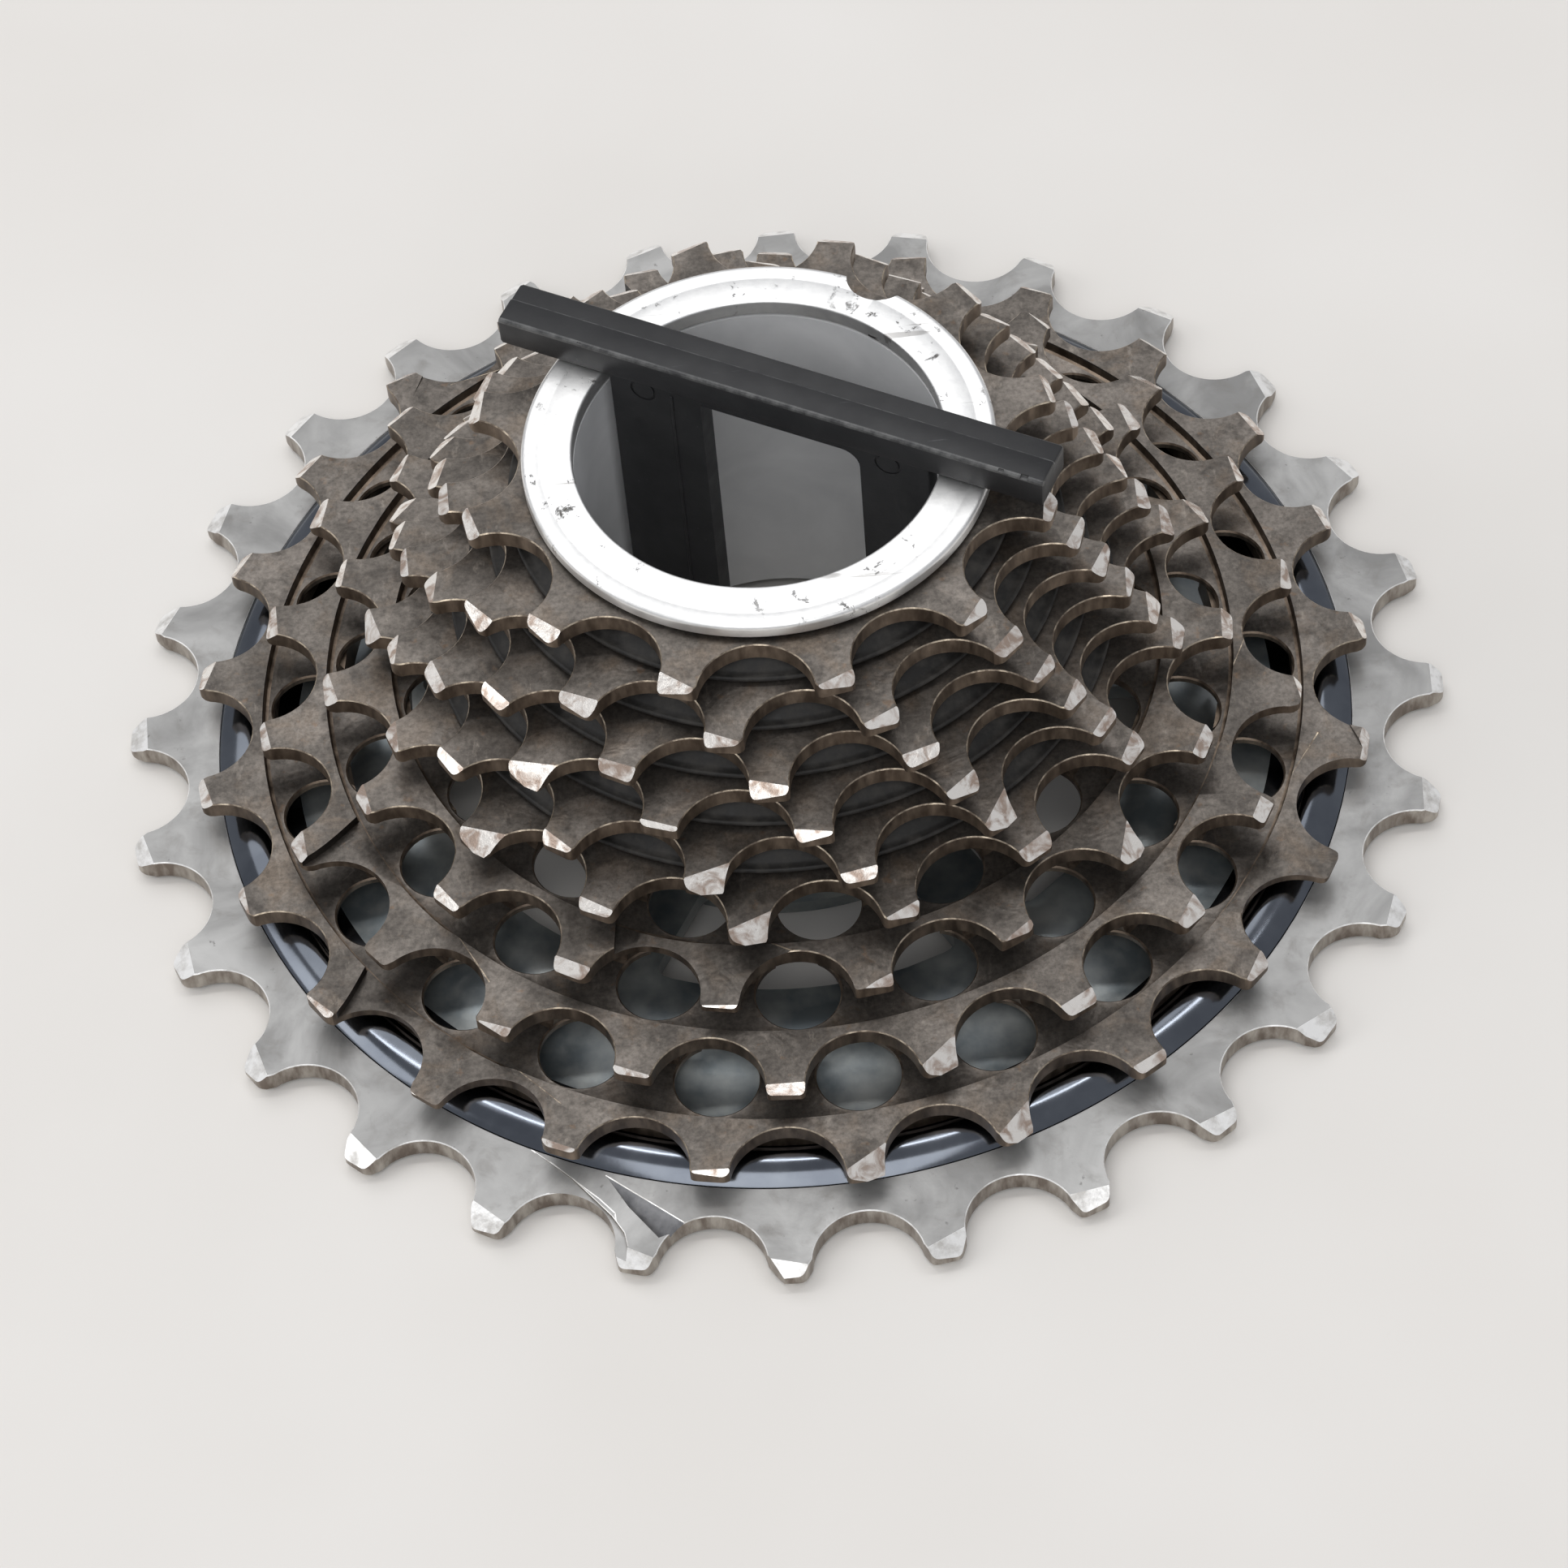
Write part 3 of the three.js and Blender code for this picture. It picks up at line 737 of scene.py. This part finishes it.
def pocket_outline(index, steep, ramp_in, ramp_out):
    """A shift pocket: steep curved wall at one end, and a flat floor that rises to the ramp line."""
    high = top_of(index)
    foot = pocket_foot(index)
    outer = pitch_radius(TEETH[index]) + 2
    start, along, away = ramp_line(index, steep, ramp_in, ramp_out)
    beyond = start + along * (outer - foot) * POCKET_OVERRUN
    wall = []
    for i in range(9):
        share = i / 8
        azimuth = steep + POCKET_WALL_BOW * math.sin(math.pi * share * 0.5) - POCKET_WALL_LEAN * share
        wall.append(polar(foot + (outer - foot) * share, math.radians(azimuth)))
    slope = POCKET_DEPTH / (away @ (wall[0] - start))
    rim = [polar(outer + 1.5, math.radians(steep + (ramp_out - steep) * s)) for s in (0.25, 0.5, 0.75)]
    inner = [polar(foot, math.radians(steep + (ramp_in - steep) * s)) for s in (0.75, 0.5, 0.25)]
    result = []
    for point in wall + rim + [beyond, start] + inner:
        depth = min(max(0.0, float(away @ (point - start)) * slope), POCKET_DEPTH)
        result.append((*point, high - depth + SKIM, high + 2))
    return result


def ramp_line(index, steep, ramp_in, ramp_out):
    """Where a pocket's floor meets the face: a point, the direction outward, and that to the wall."""
    foot = pocket_foot(index)
    start = polar(foot, math.radians(ramp_in))
    end = polar(root_radius(index) + RAMP_PAST_ROOT, math.radians(ramp_out))
    along = (end - start) / np.linalg.norm(end - start)
    away = np.array([-along[1], along[0]])
    if away @ (polar(foot, math.radians(steep)) - start) < 0:
        away = -away
    return start, along, away


def hairline(path, high):
    """A very shallow groove along a path on a face, given a bright edge colour: a painted highlight along
    a crease.
    """
    points = [np.array(point) for point in path]
    outlines = []
    for first, last in zip(points, points[1:]):
        side = (last - first) / np.linalg.norm(last - first) * HAIRLINE / 2
        across = np.array([-side[1], side[0]])
        corners = (first - across, last - across, last + across, first + across)
        outlines.append([(*corner, high - HAIRLINE_DEPTH, high + 1) for corner in corners])
    return outlines


def web_hole_cutter(index):
    """Round holes behind the gullets of the next smaller sprocket, with their rims broken."""
    smaller = index + 1
    land = root_radius(index) - LAND_INSET
    middle = land - WEB_HOLE_MARGIN - WEB_HOLE_RADIUS
    web_top = top_of(index) - WEB_RECESS
    web_low = top_of(index) - DISC_THICKNESS
    pillar_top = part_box(node_name(index))[1].z / MM
    wide = WEB_HOLE_RADIUS + HOLE_CHAMFER
    past = 0.5
    levels = [(wide + past, web_low - past), (WEB_HOLE_RADIUS, web_low + HOLE_CHAMFER)]
    levels += [(WEB_HOLE_RADIUS, web_top - HOLE_CHAMFER), (wide, web_top), (wide, pillar_top + past)]
    vertices, faces = [], []
    steps = 44
    for i in range(TEETH[smaller]):
        azimuth = math.radians(CLOCKING[smaller] + i * 360 / TEETH[smaller])
        centre = polar(middle, azimuth)
        base = len(vertices)
        for radius, height in levels:
            for j in range(steps):
                x, y = centre + polar(radius, j * 2 * math.pi / steps)
                vertices.append((x, y, height))
        faces.append(tuple(base + j for j in reversed(range(steps))))
        faces.append(tuple(base + (len(levels) - 1) * steps + j for j in range(steps)))
        for level in range(len(levels) - 1):
            for j in range(steps):
                k = (j + 1) % steps
                a, b = base + level * steps, base + (level + 1) * steps
                faces.append((a + j, a + k, b + k, b + j))
    return make_mesh("web_holes", vertices, faces, [0] * len(faces), [WALL])


def inner_rings(index):
    """Rings of a sprocket inside its toothed outline, as (radius, height, slot)."""
    high = top_of(index)
    low = high - DISC_THICKNESS
    if index >= FIRST_STACKED:
        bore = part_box("lock_sleeve")[1].x / MM + SLEEVE_GAP
        return [(bore + BORE_CHAMFER, high, 2), (bore, high - BORE_CHAMFER, 1), (bore, low, 0)]
    land = root_radius(index) - LAND_INSET
    smaller_land = root_radius(index + 1) - LAND_INSET
    outside = smaller_land + PILLAR_OUTSIDE_LAND
    inside = smaller_land - PILLAR_INSIDE_LAND
    web = high - WEB_RECESS
    wall = land - LAND_WALL_INSET
    pillar_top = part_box(node_name(index))[1].z / MM
    return [
        (land, high, 0),
        (wall, high - LAND_BREAK, 1),
        (wall, web + WEB_FILLET, 1),
        (wall - WEB_FILLET * 0.3, web + WEB_FILLET * 0.3, 1),
        (wall - WEB_FILLET, web, 0),
        (outside + PILLAR_FILLET, web, 1),
        (outside + PILLAR_FILLET * 0.24, web + PILLAR_FILLET * 0.24, 1),
        (outside, web + PILLAR_FILLET, 1),
        (outside, pillar_top, 1),
        (inside, pillar_top, 1),
        (inside, low, 0),
    ]


def steel_sprocket(index, rng):
    """A steel sprocket, with a pierced web and shift pockets if it has them, and its facets."""
    shapes = tooth_shapes(index, rng)
    piece = toothed_disc(index, shapes, inner_rings(index), DISC_THICKNESS, [FACE, WALL, EDGE])
    if index < FIRST_STACKED:
        combine(piece, web_hole_cutter(index), "DIFFERENCE")
    for place in POCKETS.get(TEETH[index], []):
        # Each pocket's floor takes the slightly darkened steel and its steep wall the much darker one:
        # painted shade.
        combine(piece, prisms("pocket", [pocket_outline(index, *place)], POCKET, POCKET_WALL_SHADE), "DIFFERENCE")
        # The ramp line gets a groove in the bright edge colour: a painted highlight where the pocket floor
        # meets the face.
        start, along, away = ramp_line(index, *place)
        line = hairline([start, start + along * RAMP_LENGTH], top_of(index))
        combine(piece, prisms("ramp", line, EDGE), "DIFFERENCE")
    combine(piece, prisms("facets", facet_outlines(index, shapes), FACET), "DIFFERENCE")
    under = under_facet_outlines(index, shapes, DISC_THICKNESS)
    combine(piece, prisms("under", under, FACET), "DIFFERENCE")
    hand_over(piece, "cassette", node_name(index))


def large_cuts(piece, high):
    """Cuts in the large sprocket's front: a curved ramp, a wedge beside it and a slanted gate tooth.

    Each cut is a list of (radius, azimuth in degrees, depth) corners.
    """
    far = pitch_radius(TEETH[0]) + 4
    ridge = [(49.4, -119, 0), (50.8, -114.1, 0.2), (52.2, -111.3, 0.3), (53.3, -109.4, 0.4)]
    ridge += [(54.6, -107.9, 0.5), (55.8, -107.3, 0.6), (far, -107.0, 0.75)]
    ramp = ridge + [(far, -112, 0.5), (54.0, -113.2, 0.18), (52.4, -116, 0)]
    wedge = [(49.75, -111.2, 0), (52.2, -108.2, 0.8), (54.6, -104.9, 0.95), (53.2, -102.4, 0)]
    gate = [(52.7, -98.1, 5), (55.2, -95.9, 5), (57.6, -94.1, 5), (far, -94.0, 5), (far, -99, 5)]
    # The wedge's floor takes the darker aluminium: painted shade.
    for cut, floor_look in ((ramp, LARGE_FACE), (wedge, LARGE_SHADE), (gate, LARGE_WALL)):
        outline = []
        for radius, azimuth, depth in cut:
            outline.append((*polar(radius, math.radians(azimuth)), high - depth + SKIM, high + 2))
        combine(piece, prisms("large_cut", [outline], floor_look, LARGE_WALL), "DIFFERENCE")
    # Grooves in the bright edge colour along the ramp's ridge, beside it and along the wedge's edge:
    # painted highlights of these creases.
    beside = [(49.9, -116.8), (51.0, -113.6), (52.0, -111.0), (53.0, -109.2), (54.4, -108.6)]
    for path in (ridge[:-1], beside, [wedge[0], wedge[3]]):
        places = [polar(corner[0], math.radians(corner[1])) for corner in path]
        combine(piece, prisms("ridge", hairline(places, high), LARGE_EDGE), "DIFFERENCE")


def large_sprocket(rng):
    """The large aluminium sprocket, a ring around the carrier."""
    shapes = tooth_shapes(0, rng)
    high = top_of(0)
    low = high - LARGE_THICKNESS
    chamfer = 0.06
    rings = [(LARGE_BORE + chamfer, high, 2), (LARGE_BORE, high - chamfer, 1), (LARGE_BORE, low, 0)]
    piece = toothed_disc(0, shapes, rings, LARGE_THICKNESS, [LARGE_FACE, LARGE_WALL, LARGE_EDGE])
    combine(piece, prisms("facets", facet_outlines(0, shapes), LARGE_EDGE), "DIFFERENCE")
    under = under_facet_outlines(0, shapes, LARGE_THICKNESS)
    combine(piece, prisms("under", under, LARGE_EDGE), "DIFFERENCE")
    large_cuts(piece, high)
    hand_over(piece, "cassette", "sprocket_28t")


# ------------------------------------------------------------------ dampers, carrier, sleeve, flange


def damper(index):
    """A black rubber ring on top of sprocket index: a bead at the foot, and a hollow flank above."""
    name = f"damper_{TEETH[index + 1]}_{TEETH[index]}"
    low, high = (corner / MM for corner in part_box(name))
    bead = root_radius(index) - LAND_INSET
    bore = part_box("lock_sleeve")[1].x / MM + DAMPER_BORE_GAP
    flank, rise = bead - DAMPER_FLANK_FOOT[0], DAMPER_FLANK_FOOT[1]
    profile = [(bore, low.z), (bead - DAMPER_BEAD / 2, low.z)]
    profile += arc((bead - DAMPER_BEAD, low.z + 0.25), DAMPER_BEAD, -70, 90, 8)
    profile += [(flank, low.z + rise)]
    for share in (0.15, 0.35, 0.55, 0.75, 0.9, 1.0):
        hollow = DAMPER_HOLLOW * math.sin(math.pi / 2 * share) ** 1.2
        profile.append((flank - hollow, low.z + rise + (high.z - low.z - rise) * share))
    profile += [(bore, high.z)]
    piece = turned(name, profile, 220, [RUBBER])
    hand_over(piece, "cassette", name, smooth=50)


def foot_ring():
    """The steel ring between the dome and the carrier, with its outer rims broken."""
    low, high = (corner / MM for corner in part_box("dome_foot_ring"))
    outer, chamfer = high.x, 0.15
    profile = [(FOOT_INNER, low.z), (outer - chamfer, low.z), (outer, low.z + chamfer)]
    profile += [(outer, high.z - chamfer), (outer - chamfer, high.z), (FOOT_INNER, high.z)]
    piece = turned("dome_foot_ring", profile, 260, [WALL])
    hand_over(piece, "cassette", "dome_foot_ring")


def window_outline(middle, low, high):
    """A window between two arms with rounded corners, as prism corners."""
    edges = []
    for radius, direction in ((WINDOW_OUTER, 1), (WINDOW_INNER, -1)):
        reach = math.pi / ARM_COUNT - math.asin(ARM_HALF_WIDTH / radius)
        edges.append([polar(radius, middle + direction * reach * (-1 + i / 8)) for i in range(17)])
    corners = [edges[0][0], edges[0][-1], edges[1][0], edges[1][-1]]
    inside = [edges[0][1:-1], edges[1][1:-1]]
    points = rounded_corner(corners[3], corners[0], inside[0][2], WINDOW_OUTER_CORNER)
    points += inside[0][2:-2]
    points += rounded_corner(inside[0][-3], corners[1], corners[2], WINDOW_OUTER_CORNER)
    points += rounded_corner(corners[1], corners[2], inside[1][2], WINDOW_INNER_CORNER)
    points += inside[1][2:-2]
    points += rounded_corner(inside[1][-3], corners[3], corners[0], WINDOW_INNER_CORNER)
    return [(x, y, low, high) for x, y in points]


def spline_outline(low, high):
    """The carrier's bore: a narrow land and a wide groove, nine times around, as prism corners."""
    points = []
    land_ends, groove_starts, groove_run = 0.28, 0.33, 0.62
    for i in range(SPLINE_COUNT):
        for share in (0, land_ends / 2, land_ends):
            points.append(polar(SPLINE_MINOR, (i + share) * 2 * math.pi / SPLINE_COUNT))
        for step in range(7):
            share = groove_starts + groove_run * step / 6
            points.append(polar(SPLINE_MAJOR, (i + share) * 2 * math.pi / SPLINE_COUNT))
    return [(x, y, low, high) for x, y in points]


def carrier_profile():
    """The carrier's plate: from the bore out along the underside, over the rim and back in."""
    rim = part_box("carrier")[1].x / MM
    face = RIM_WALL_TOP
    chamfer = 0.3
    dish_inner = DISH_OUTER - DISH_RUN
    under = face + DISH_RISE - PLATE_THICKNESS
    profile = [(CARRIER_BORE, under), (dish_inner, under), (DISH_OUTER, face - PLATE_THICKNESS)]
    profile += [(rim - chamfer, RIM_BOTTOM), (rim, RIM_BOTTOM + chamfer), (rim, face)]
    for i in range(17):
        share = i / 16
        rise = (RIM_TOP - face - 0.1) * math.sin(math.pi / 2 * share**0.85)
        profile.append((rim - 0.02 - RIM_ROUNDING * share, face + 0.1 + rise))
    profile += [(RIM_INNER + 0.4, RIM_TOP - 0.03), (RIM_INNER + 0.1, RIM_TOP - 0.14)]
    profile += [(RIM_INNER, RIM_TOP - 0.4), (RIM_INNER, face + 0.2), (RIM_INNER - 0.2, face)]
    profile += [(DISH_OUTER + 0.6, face)]
    for i in range(9):
        share = i / 8
        rise = DISH_RISE * (0.5 - 0.5 * math.cos(math.pi * share))
        profile.append((DISH_OUTER - DISH_RUN * share, face + rise))
    return profile + [(CARRIER_BORE, face + DISH_RISE)]


def carrier():
    """The dished carrier: a polished rounded rim, a dish, six arms and a splined hub."""
    plate = carrier_profile()
    # The rim keeps the dark polished colour; the dish, arms and hub get the lighter one, which is painted
    # light.
    slots = [0 if radius > RIM_INNER - 0.9 else 1 for radius, height in plate]
    piece = turned("carrier", plate, 288, [CARRIER, CARRIER_ARM], slots)
    hub = [(CARRIER_BORE, 0), (HUB_RADIUS - 0.3, 0), (HUB_RADIUS, 0.3)]
    hub += [(HUB_RADIUS, HUB_TOP - 1), (HUB_RADIUS - 1, HUB_TOP), (CARRIER_BORE, HUB_TOP)]
    combine(piece, turned("hub", hub, 288, [CARRIER_ARM]), "UNION")
    middles = [(i + 0.5) * 2 * math.pi / ARM_COUNT for i in range(ARM_COUNT)]
    windows = [window_outline(middle, -1, HUB_TOP - 3) for middle in middles]
    combine(piece, prisms("windows", windows, CARRIER_ARM), "DIFFERENCE")
    splines = [spline_outline(-1, HUB_TOP + 1)]
    combine(piece, prisms("splines", splines, CARRIER_ARM), "DIFFERENCE")
    hand_over(piece, "cassette", "carrier")


def lock_sleeve():
    """The smooth tube that lines the bore, with its lower rims broken."""
    low, high = (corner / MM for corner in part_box("lock_sleeve"))
    inner, outer = high.x - SLEEVE_WALL, high.x
    profile = [(inner, low.z + 0.3), (inner + 0.3, low.z), (outer - 0.2, low.z), (outer, low.z + 0.2)]
    profile += [(outer, high.z), (inner, high.z)]
    piece = turned("lock_sleeve", profile, 260, [SLEEVE])
    hand_over(piece, "lock_sleeve", "lock_sleeve")


def end_flange():
    """The bright end ring, with rounded rims, a shallow turned groove and one notch."""
    low, high = (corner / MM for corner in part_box("end_flange"))
    outer = max(high.x, -low.x, -low.y)
    lower_round, upper_round, bore_round = 0.3, 0.42, 0.22
    floor_of_groove = high.z - FLANGE_GROOVE_DEPTH
    profile = [(FLANGE_BORE, low.z), (outer - 0.4, low.z)]
    profile += arc((outer - lower_round, low.z + lower_round), lower_round, -60, 0, 4)
    profile += arc((outer - upper_round, high.z - upper_round), upper_round, 0, 90, 7)
    profile += [(FLANGE_GROOVE[1], high.z), (FLANGE_GROOVE[1] - 0.1, floor_of_groove)]
    profile += [(FLANGE_GROOVE[0] + 0.1, floor_of_groove), (FLANGE_GROOVE[0], high.z)]
    profile += arc((FLANGE_BORE + bore_round, high.z - bore_round), bore_round, 90, 180, 5)
    piece = turned("end_flange", profile, 300, [FLANGE])
    centre = polar(outer + NOTCH_OUTSIDE, math.radians(NOTCH_AZIMUTH))
    corners = [centre + polar(NOTCH_RADIUS, j * 2 * math.pi / 48) for j in range(48)]
    notch = [(x, y, low.z - 1, high.z + 1) for x, y in corners]
    combine(piece, prisms("notch", [notch], FLANGE), "DIFFERENCE")
    hand_over(piece, "lock_sleeve", "end_flange")


# ------------------------------------------------------------------ retainer


def box_solid(name, low, high, bevel, material, segments=3):
    """A box with rounded edges, as a closed mesh in millimetres."""
    work = bmesh.new()
    bmesh.ops.create_cube(work, size=1)
    size = [h - l for l, h in zip(low, high)]
    middle = [(h + l) / 2 for l, h in zip(low, high)]
    bmesh.ops.scale(work, vec=size, verts=work.verts)
    bmesh.ops.translate(work, vec=middle, verts=work.verts)
    bmesh.ops.bevel(work, geom=work.edges[:], offset=bevel, segments=segments, profile=0.5, affect="EDGES")
    mesh = bpy.data.meshes.new(name)
    work.to_mesh(mesh)
    work.free()
    mesh.materials.append(material)
    piece = bpy.data.objects.new(name, mesh)
    bpy.context.scene.collection.objects.link(piece)
    return piece


def bar_outline(front, back, low, top):
    """The bar's section as (y, z): a stepped top, with a worn facet along its front upper edge that also
    carries a painted highlight.
    """
    ridge = back - BAR_STEP_WIDTH
    points = arc((front + 0.2, low + 0.2), 0.2, 270, 180, 3) + [(front, top - 0.30)]
    points += [(front + 0.07, top - 0.12), (front + 0.2, top - 0.02), (front + 0.36, top)]
    points += [(ridge - 0.12, top), (ridge, top - 0.05), (ridge + 0.06, top - BAR_STEP_DROP)]
    points += arc((back - 0.3, top - BAR_STEP_DROP - 0.3), 0.3, 90, 0, 4)
    points += arc((back - 0.2, low + 0.2), 0.2, 0, -90, 3)
    return points


def bar(half, front, back, low, top):
    """The bar, with its ends drawn in a little so that their edges are rounded."""
    # Faces along the front upper edge and the step's edge take the lighter edge plastic: a painted
    # highlight, with wear.
    worn_and_highlight_edges = (4, 5, 6, 8)
    section = np.array(bar_outline(front, back, low, top))
    middle = np.array([(front + back) / 2, (low + top) / 2])
    stations = [(-half, 0.30), (-half + 0.09, 0.09), (-half + 0.30, 0)]
    stations += [(half - 0.25, 0), (half - 0.07, 0.07), (half, 0.25)]
    vertices, faces, slots = [], [], []
    count = len(section)
    for x, draw in stations:
        shrink = 1 - draw / (np.array([back - front, top - low]) / 2)
        vertices += [(x, *point) for point in middle + (section - middle) * shrink]
    for i in range(len(stations) - 1):
        for k in range(count):
            m = (k + 1) % count
            faces.append((i * count + k, i * count + m, (i + 1) * count + m, (i + 1) * count + k))
            slots.append(1 if k in worn_and_highlight_edges else 0)
    faces.append(tuple(reversed(range(count))))
    faces.append(tuple((len(stations) - 1) * count + k for k in range(count)))
    return make_mesh("retainer", vertices, faces, slots + [0, 0], [PLASTIC, PLASTIC_EDGE])


def ejector_mark(place, face, height):
    """A cutter for the shallow round line that an ejector pin leaves on the leg's face."""
    inner, outer, half_depth = EJECTOR_MARK_RADIUS - 0.1, EJECTOR_MARK_RADIUS + 0.1, 0.12
    profile = [(inner, -half_depth), (outer, -half_depth), (outer, half_depth), (inner, half_depth)]
    mark = turned("mark", profile, 40, [PLASTIC])
    upright = Matrix.Rotation(math.pi / 2, 4, "X")
    mark.data.transform(Matrix.Translation((place, face, height)) @ upright)
    return mark


def retainer():
    """The black T: a stepped bar over the flange and a windowed leg down the bore."""
    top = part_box("retainer")[1].z / MM
    low = top - BAR_HEIGHT
    front = BAR_OFFSET - BAR_WIDTH / 2
    piece = bar(BAR_LENGTH / 2, front, BAR_OFFSET + BAR_WIDTH / 2, low, top)
    face = front + 0.02
    leg_low = (-LEG_HALF_WIDTH, face, LEG_FOOT)
    leg_high = (LEG_HALF_WIDTH, front + LEG_THICKNESS, low + 1.0)
    leg = box_solid("leg", leg_low, leg_high, 0.25, PLASTIC)
    window_top = low - 0.4
    window_low = (LEG_WINDOW_LEFT, front - 3, LEG_WINDOW_FOOT)
    window_high = (LEG_WINDOW_RIGHT, front + 5, window_top)
    window = box_solid("window", window_low, window_high, LEG_WINDOW_CORNER, PLASTIC, 6)
    combine(leg, window, "DIFFERENCE")
    corner_low = (LEG_WINDOW_LEFT, front - 3, low - 3)
    corner_high = (LEG_WINDOW_LEFT + 4.0, front + 5, window_top)
    combine(leg, box_solid("corner", corner_low, corner_high, 0.05, PLASTIC, 1), "DIFFERENCE")
    for place in EJECTOR_MARKS:
        combine(leg, ejector_mark(place, face, low - 0.6), "DIFFERENCE")
    rib_low = (RIB_PLACE, face - 0.1, LEG_FOOT + 1.0)
    rib_high = (RIB_PLACE + RIB_WIDTH, face + 0.1, low - 0.3)
    combine(leg, box_solid("rib", rib_low, rib_high, 0.04, PLASTIC, 1), "UNION")
    combine(piece, leg, "UNION")
    for place, depth in BAR_NICKS:
        nick_low = (place, front - 1, top - depth)
        nick_high = (place + 3 * depth, front + 2 * depth, top + 1)
        combine(piece, box_solid("nick", nick_low, nick_high, 0.05, PLASTIC_EDGE, 1), "DIFFERENCE")
    piece.data.transform(Matrix.Rotation(math.radians(BAR_AZIMUTH), 4, "Z"))
    hand_over(piece, "retainer", "retainer", smooth=24)


# ------------------------------------------------------------------ build

rng = random.Random(28)
large_sprocket(rng)
for index in range(1, len(TEETH)):
    steel_sprocket(index, rng)
for index in range(FIRST_STACKED, len(TEETH) - 1):
    damper(index)
foot_ring()
carrier()
lock_sleeve()
end_flange()
retainer()

# ------------------------------------------------------------------ stage, light and camera

FLOOR_REACH = 4.0
WORLD_COLOUR = (0.93, 0.95, 1.0, 1)
WORLD_STRENGTH = 0.42

# The camera looks at a point on the floor, in millimetres, from this far away and this high up.
CAMERA_TARGET = (-0.53, -6.71, 0)
CAMERA_DISTANCE = 414.95
CAMERA_ELEVATION = 53.235
CAMERA_ROLL = -5.423
CAMERA_LENS = 109.79


def floor():
    """A plain pale floor, in metres."""
    s = Shader("floor_pale")
    s.colour(s.blend(s.spread(s.noise(60, detail=3), 0.3, 0.7), (0.76, 0.73, 0.69), (0.80, 0.775, 0.74)))
    s.rough(s.spread(s.noise(20, detail=3), 0.3, 0.7, 0.55, 0.65))
    mesh = bpy.data.meshes.new("floor")
    corners = [(-FLOOR_REACH, -FLOOR_REACH), (FLOOR_REACH, -FLOOR_REACH)]
    corners += [(FLOOR_REACH, FLOOR_REACH), (-FLOOR_REACH, FLOOR_REACH)]
    mesh.from_pydata([(x, y, 0) for x, y in corners], [], [(0, 1, 2, 3)])
    mesh.materials.append(s.material)
    piece = bpy.data.objects.new("floor", mesh)
    bpy.context.scene.collection.objects.link(piece)


def area_light(name, azimuth, elevation, distance, width, height, watts):
    """A soft box that looks at the object, in metres. Azimuth 0 is +X and 90 is +Y, in degrees."""
    light = bpy.data.lights.new(name, "AREA")
    light.shape = "RECTANGLE"
    light.size, light.size_y = width, height
    light.energy = watts
    lamp = bpy.data.objects.new(name, light)
    flat = polar(distance * math.cos(math.radians(elevation)), math.radians(azimuth))
    lamp.location = (flat[0], flat[1], distance * math.sin(math.radians(elevation)))
    lamp.rotation_euler = Vector(lamp.location).to_track_quat("Z", "Y").to_euler()
    bpy.context.scene.collection.objects.link(lamp)


def soft_world():
    """An even pale surround."""
    world = bpy.data.worlds.new("studio")
    world.use_nodes = True
    background = world.node_tree.nodes["Background"]
    background.inputs["Color"].default_value = WORLD_COLOUR
    background.inputs["Strength"].default_value = WORLD_STRENGTH
    bpy.context.scene.world = world


def photo_camera():
    """The camera in front of the object, looking down at it and rolled a little."""
    data = bpy.data.cameras.new("camera")
    data.sensor_width = 36
    data.lens = CAMERA_LENS
    data.clip_start, data.clip_end = 0.02, 20
    camera = bpy.data.objects.new("camera", data)
    tilt = math.radians(90 - CAMERA_ELEVATION)
    backward = Vector((0, -math.sin(tilt), math.cos(tilt)))
    turn = Matrix.Rotation(tilt, 4, "X") @ Matrix.Rotation(math.radians(CAMERA_ROLL), 4, "Z")
    place = (Vector(CAMERA_TARGET) + backward * CAMERA_DISTANCE) * MM
    camera.matrix_world = Matrix.Translation(place) @ turn
    bpy.context.scene.collection.objects.link(camera)
    bpy.context.scene.camera = camera


floor()
area_light("key", azimuth=110, elevation=58, distance=1.4, width=1.3, height=1.0, watts=4.8)
area_light("strip", azimuth=90, elevation=78, distance=1.2, width=1.5, height=0.07, watts=3.2)
area_light("front", azimuth=-98, elevation=54, distance=1.5, width=1.0, height=1.0, watts=6.4)
area_light("side", azimuth=180, elevation=35, distance=1.5, width=0.8, height=0.6, watts=3.0)
soft_world()
photo_camera()
bpy.context.scene.view_settings.view_transform = "Standard"
